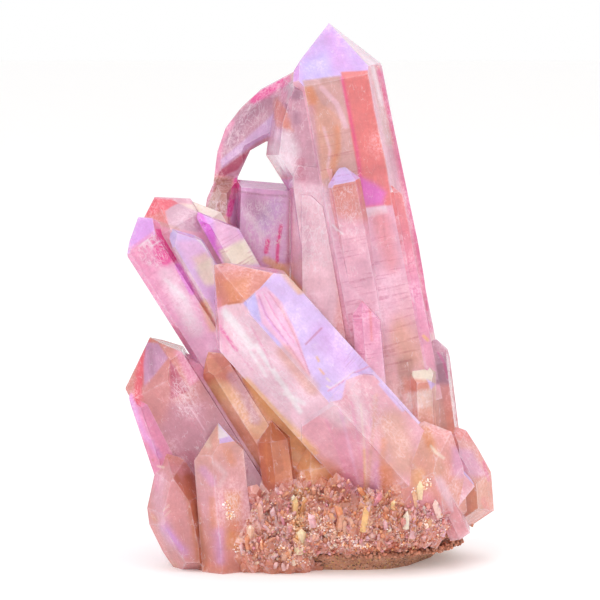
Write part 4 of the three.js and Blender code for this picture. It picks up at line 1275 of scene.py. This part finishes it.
def rock_material():
    """Granular brown rock with pink, nearly black and ochre grains."""
    n = Nodes("host_rock")
    patches = n.noise(n.place, 220.0, 4.0, 0.6)
    grains = n.add("ShaderNodeTexVoronoi", {"Vector": n.place, "Scale": 3400.0})
    tone = n.add("ShaderNodeSeparateColor", {"Color": grains.outputs["Color"]}).outputs
    shade = n.blend(n.between(patches, 0.35, 0.65), (0.38, 0.16, 0.09, 1), (0.64, 0.30, 0.19, 1))
    # some grains are pink, nearly black or ochre: the random tone of theirs that says so, and its range
    for i, low, high, most, own in ((0, 0.72, 0.9, 0.75, (0.66, 0.40, 0.30, 1)),
                                    (1, 0.84, 0.94, 0.8, (0.06, 0.03, 0.025, 1)),
                                    (2, 0.90, 0.95, 0.8, (0.72, 0.46, 0.16, 1))):
        shade = n.blend(n.between(tone[i], low, high, 0.0, most), shade, own)
    height = n.math("ADD", grains.outputs["Distance"], n.product(patches, 0.6))
    n.surface({"Base Color": shade, "Roughness": n.between(tone[0], 0.0, 1.0, 0.95, 0.45),
               "Normal": n.bump(0.8, 0.0003, height)})
    return n.material


for pieces, look in (([quartz], quartz_material()), ([seam], grain_material()),
                     (crusts[:1], glint_material()), (crusts[1:], druse_material()),
                     ([rock], rock_material())):
    for ob in pieces:
        ob.data.materials.append(look)

# ---- floor, light and camera; from here on in metres ----
FLOOR = 4.0                         # from the middle to its sides
LAMPS_AIM = (0, 0, 0.05)


def studio_floor():
    """A wide, pale, matt floor."""
    mesh = bpy.data.meshes.new("floor")
    mesh.from_pydata([(FLOOR * x, FLOOR * y, 0) for x, y in ((-1, -1), (1, -1), (1, 1), (-1, 1))], [],
                     [(0, 1, 2, 3)])
    ob = bpy.data.objects.new("floor", mesh)
    bpy.context.scene.collection.objects.link(ob)
    n = Nodes("floor")
    pale = n.blend(n.noise(n.place, 40.0), (0.93, 0.93, 0.93, 1), (0.96, 0.96, 0.96, 1))
    n.surface({"Base Color": pale, "Roughness": 0.8,
               "Emission Color": (1, 1, 1, 1), "Emission Strength": 0.12})
    mesh.materials.append(n.material)


def softbox(name, place, size, power, colour=(1, 1, 1)):
    """A square lamp that looks at the middle of the object."""
    light = bpy.data.lights.new(name, "AREA")
    light.size = size
    light.energy = power
    light.color = colour
    ob = bpy.data.objects.new(name, light)
    ob.location = place
    ob.rotation_euler = (Vector(LAMPS_AIM) - Vector(place)).to_track_quat("-Z", "Y").to_euler()
    bpy.context.scene.collection.objects.link(ob)


studio_floor()
# The world lights the object with a warm white, and the camera sees it as plain white.
world = bpy.data.worlds.new("studio")
bpy.context.scene.world = world
world.use_nodes = True
tree = world.node_tree
lit, seen = tree.nodes["Background"], tree.nodes.new("ShaderNodeBackground")
lit.inputs["Color"].default_value = (1, 0.99, 0.985, 1)
lit.inputs["Strength"].default_value = 0.92
seen.inputs["Color"].default_value = (1, 1, 1, 1)
both, path = tree.nodes.new("ShaderNodeMixShader"), tree.nodes.new("ShaderNodeLightPath")
tree.links.new(path.outputs["Is Camera Ray"], both.inputs[0])
tree.links.new(lit.outputs[0], both.inputs[1])
tree.links.new(seen.outputs[0], both.inputs[2])
tree.links.new(both.outputs[0], tree.nodes["World Output"].inputs["Surface"])
softbox("key", (-0.45, -0.75, 0.65), 0.5, 2.2)
softbox("top", (0.1, -0.05, 1.0), 0.7, 1.6, (0.97, 0.94, 1))
softbox("right", (0.8, -0.35, 0.4), 0.5, 0.8)

camera = bpy.data.objects.new("camera", bpy.data.cameras.new("camera"))
camera.data.sensor_width = 36
camera.data.lens = camera.data.sensor_width / 2 / CAMERA_HALF_VIEW
away = Vector((0, -math.cos(CAMERA_RISE), math.sin(CAMERA_RISE)))
camera.location = (Vector(CAMERA_AIM) + away * CAMERA_DISTANCE) * MM
camera.rotation_euler = (-away).to_track_quat("-Z", "Y").to_euler()
camera.data.clip_start = 0.01
bpy.context.scene.collection.objects.link(camera)
bpy.context.scene.camera = camera
bpy.context.scene.view_settings.view_transform = "Standard"
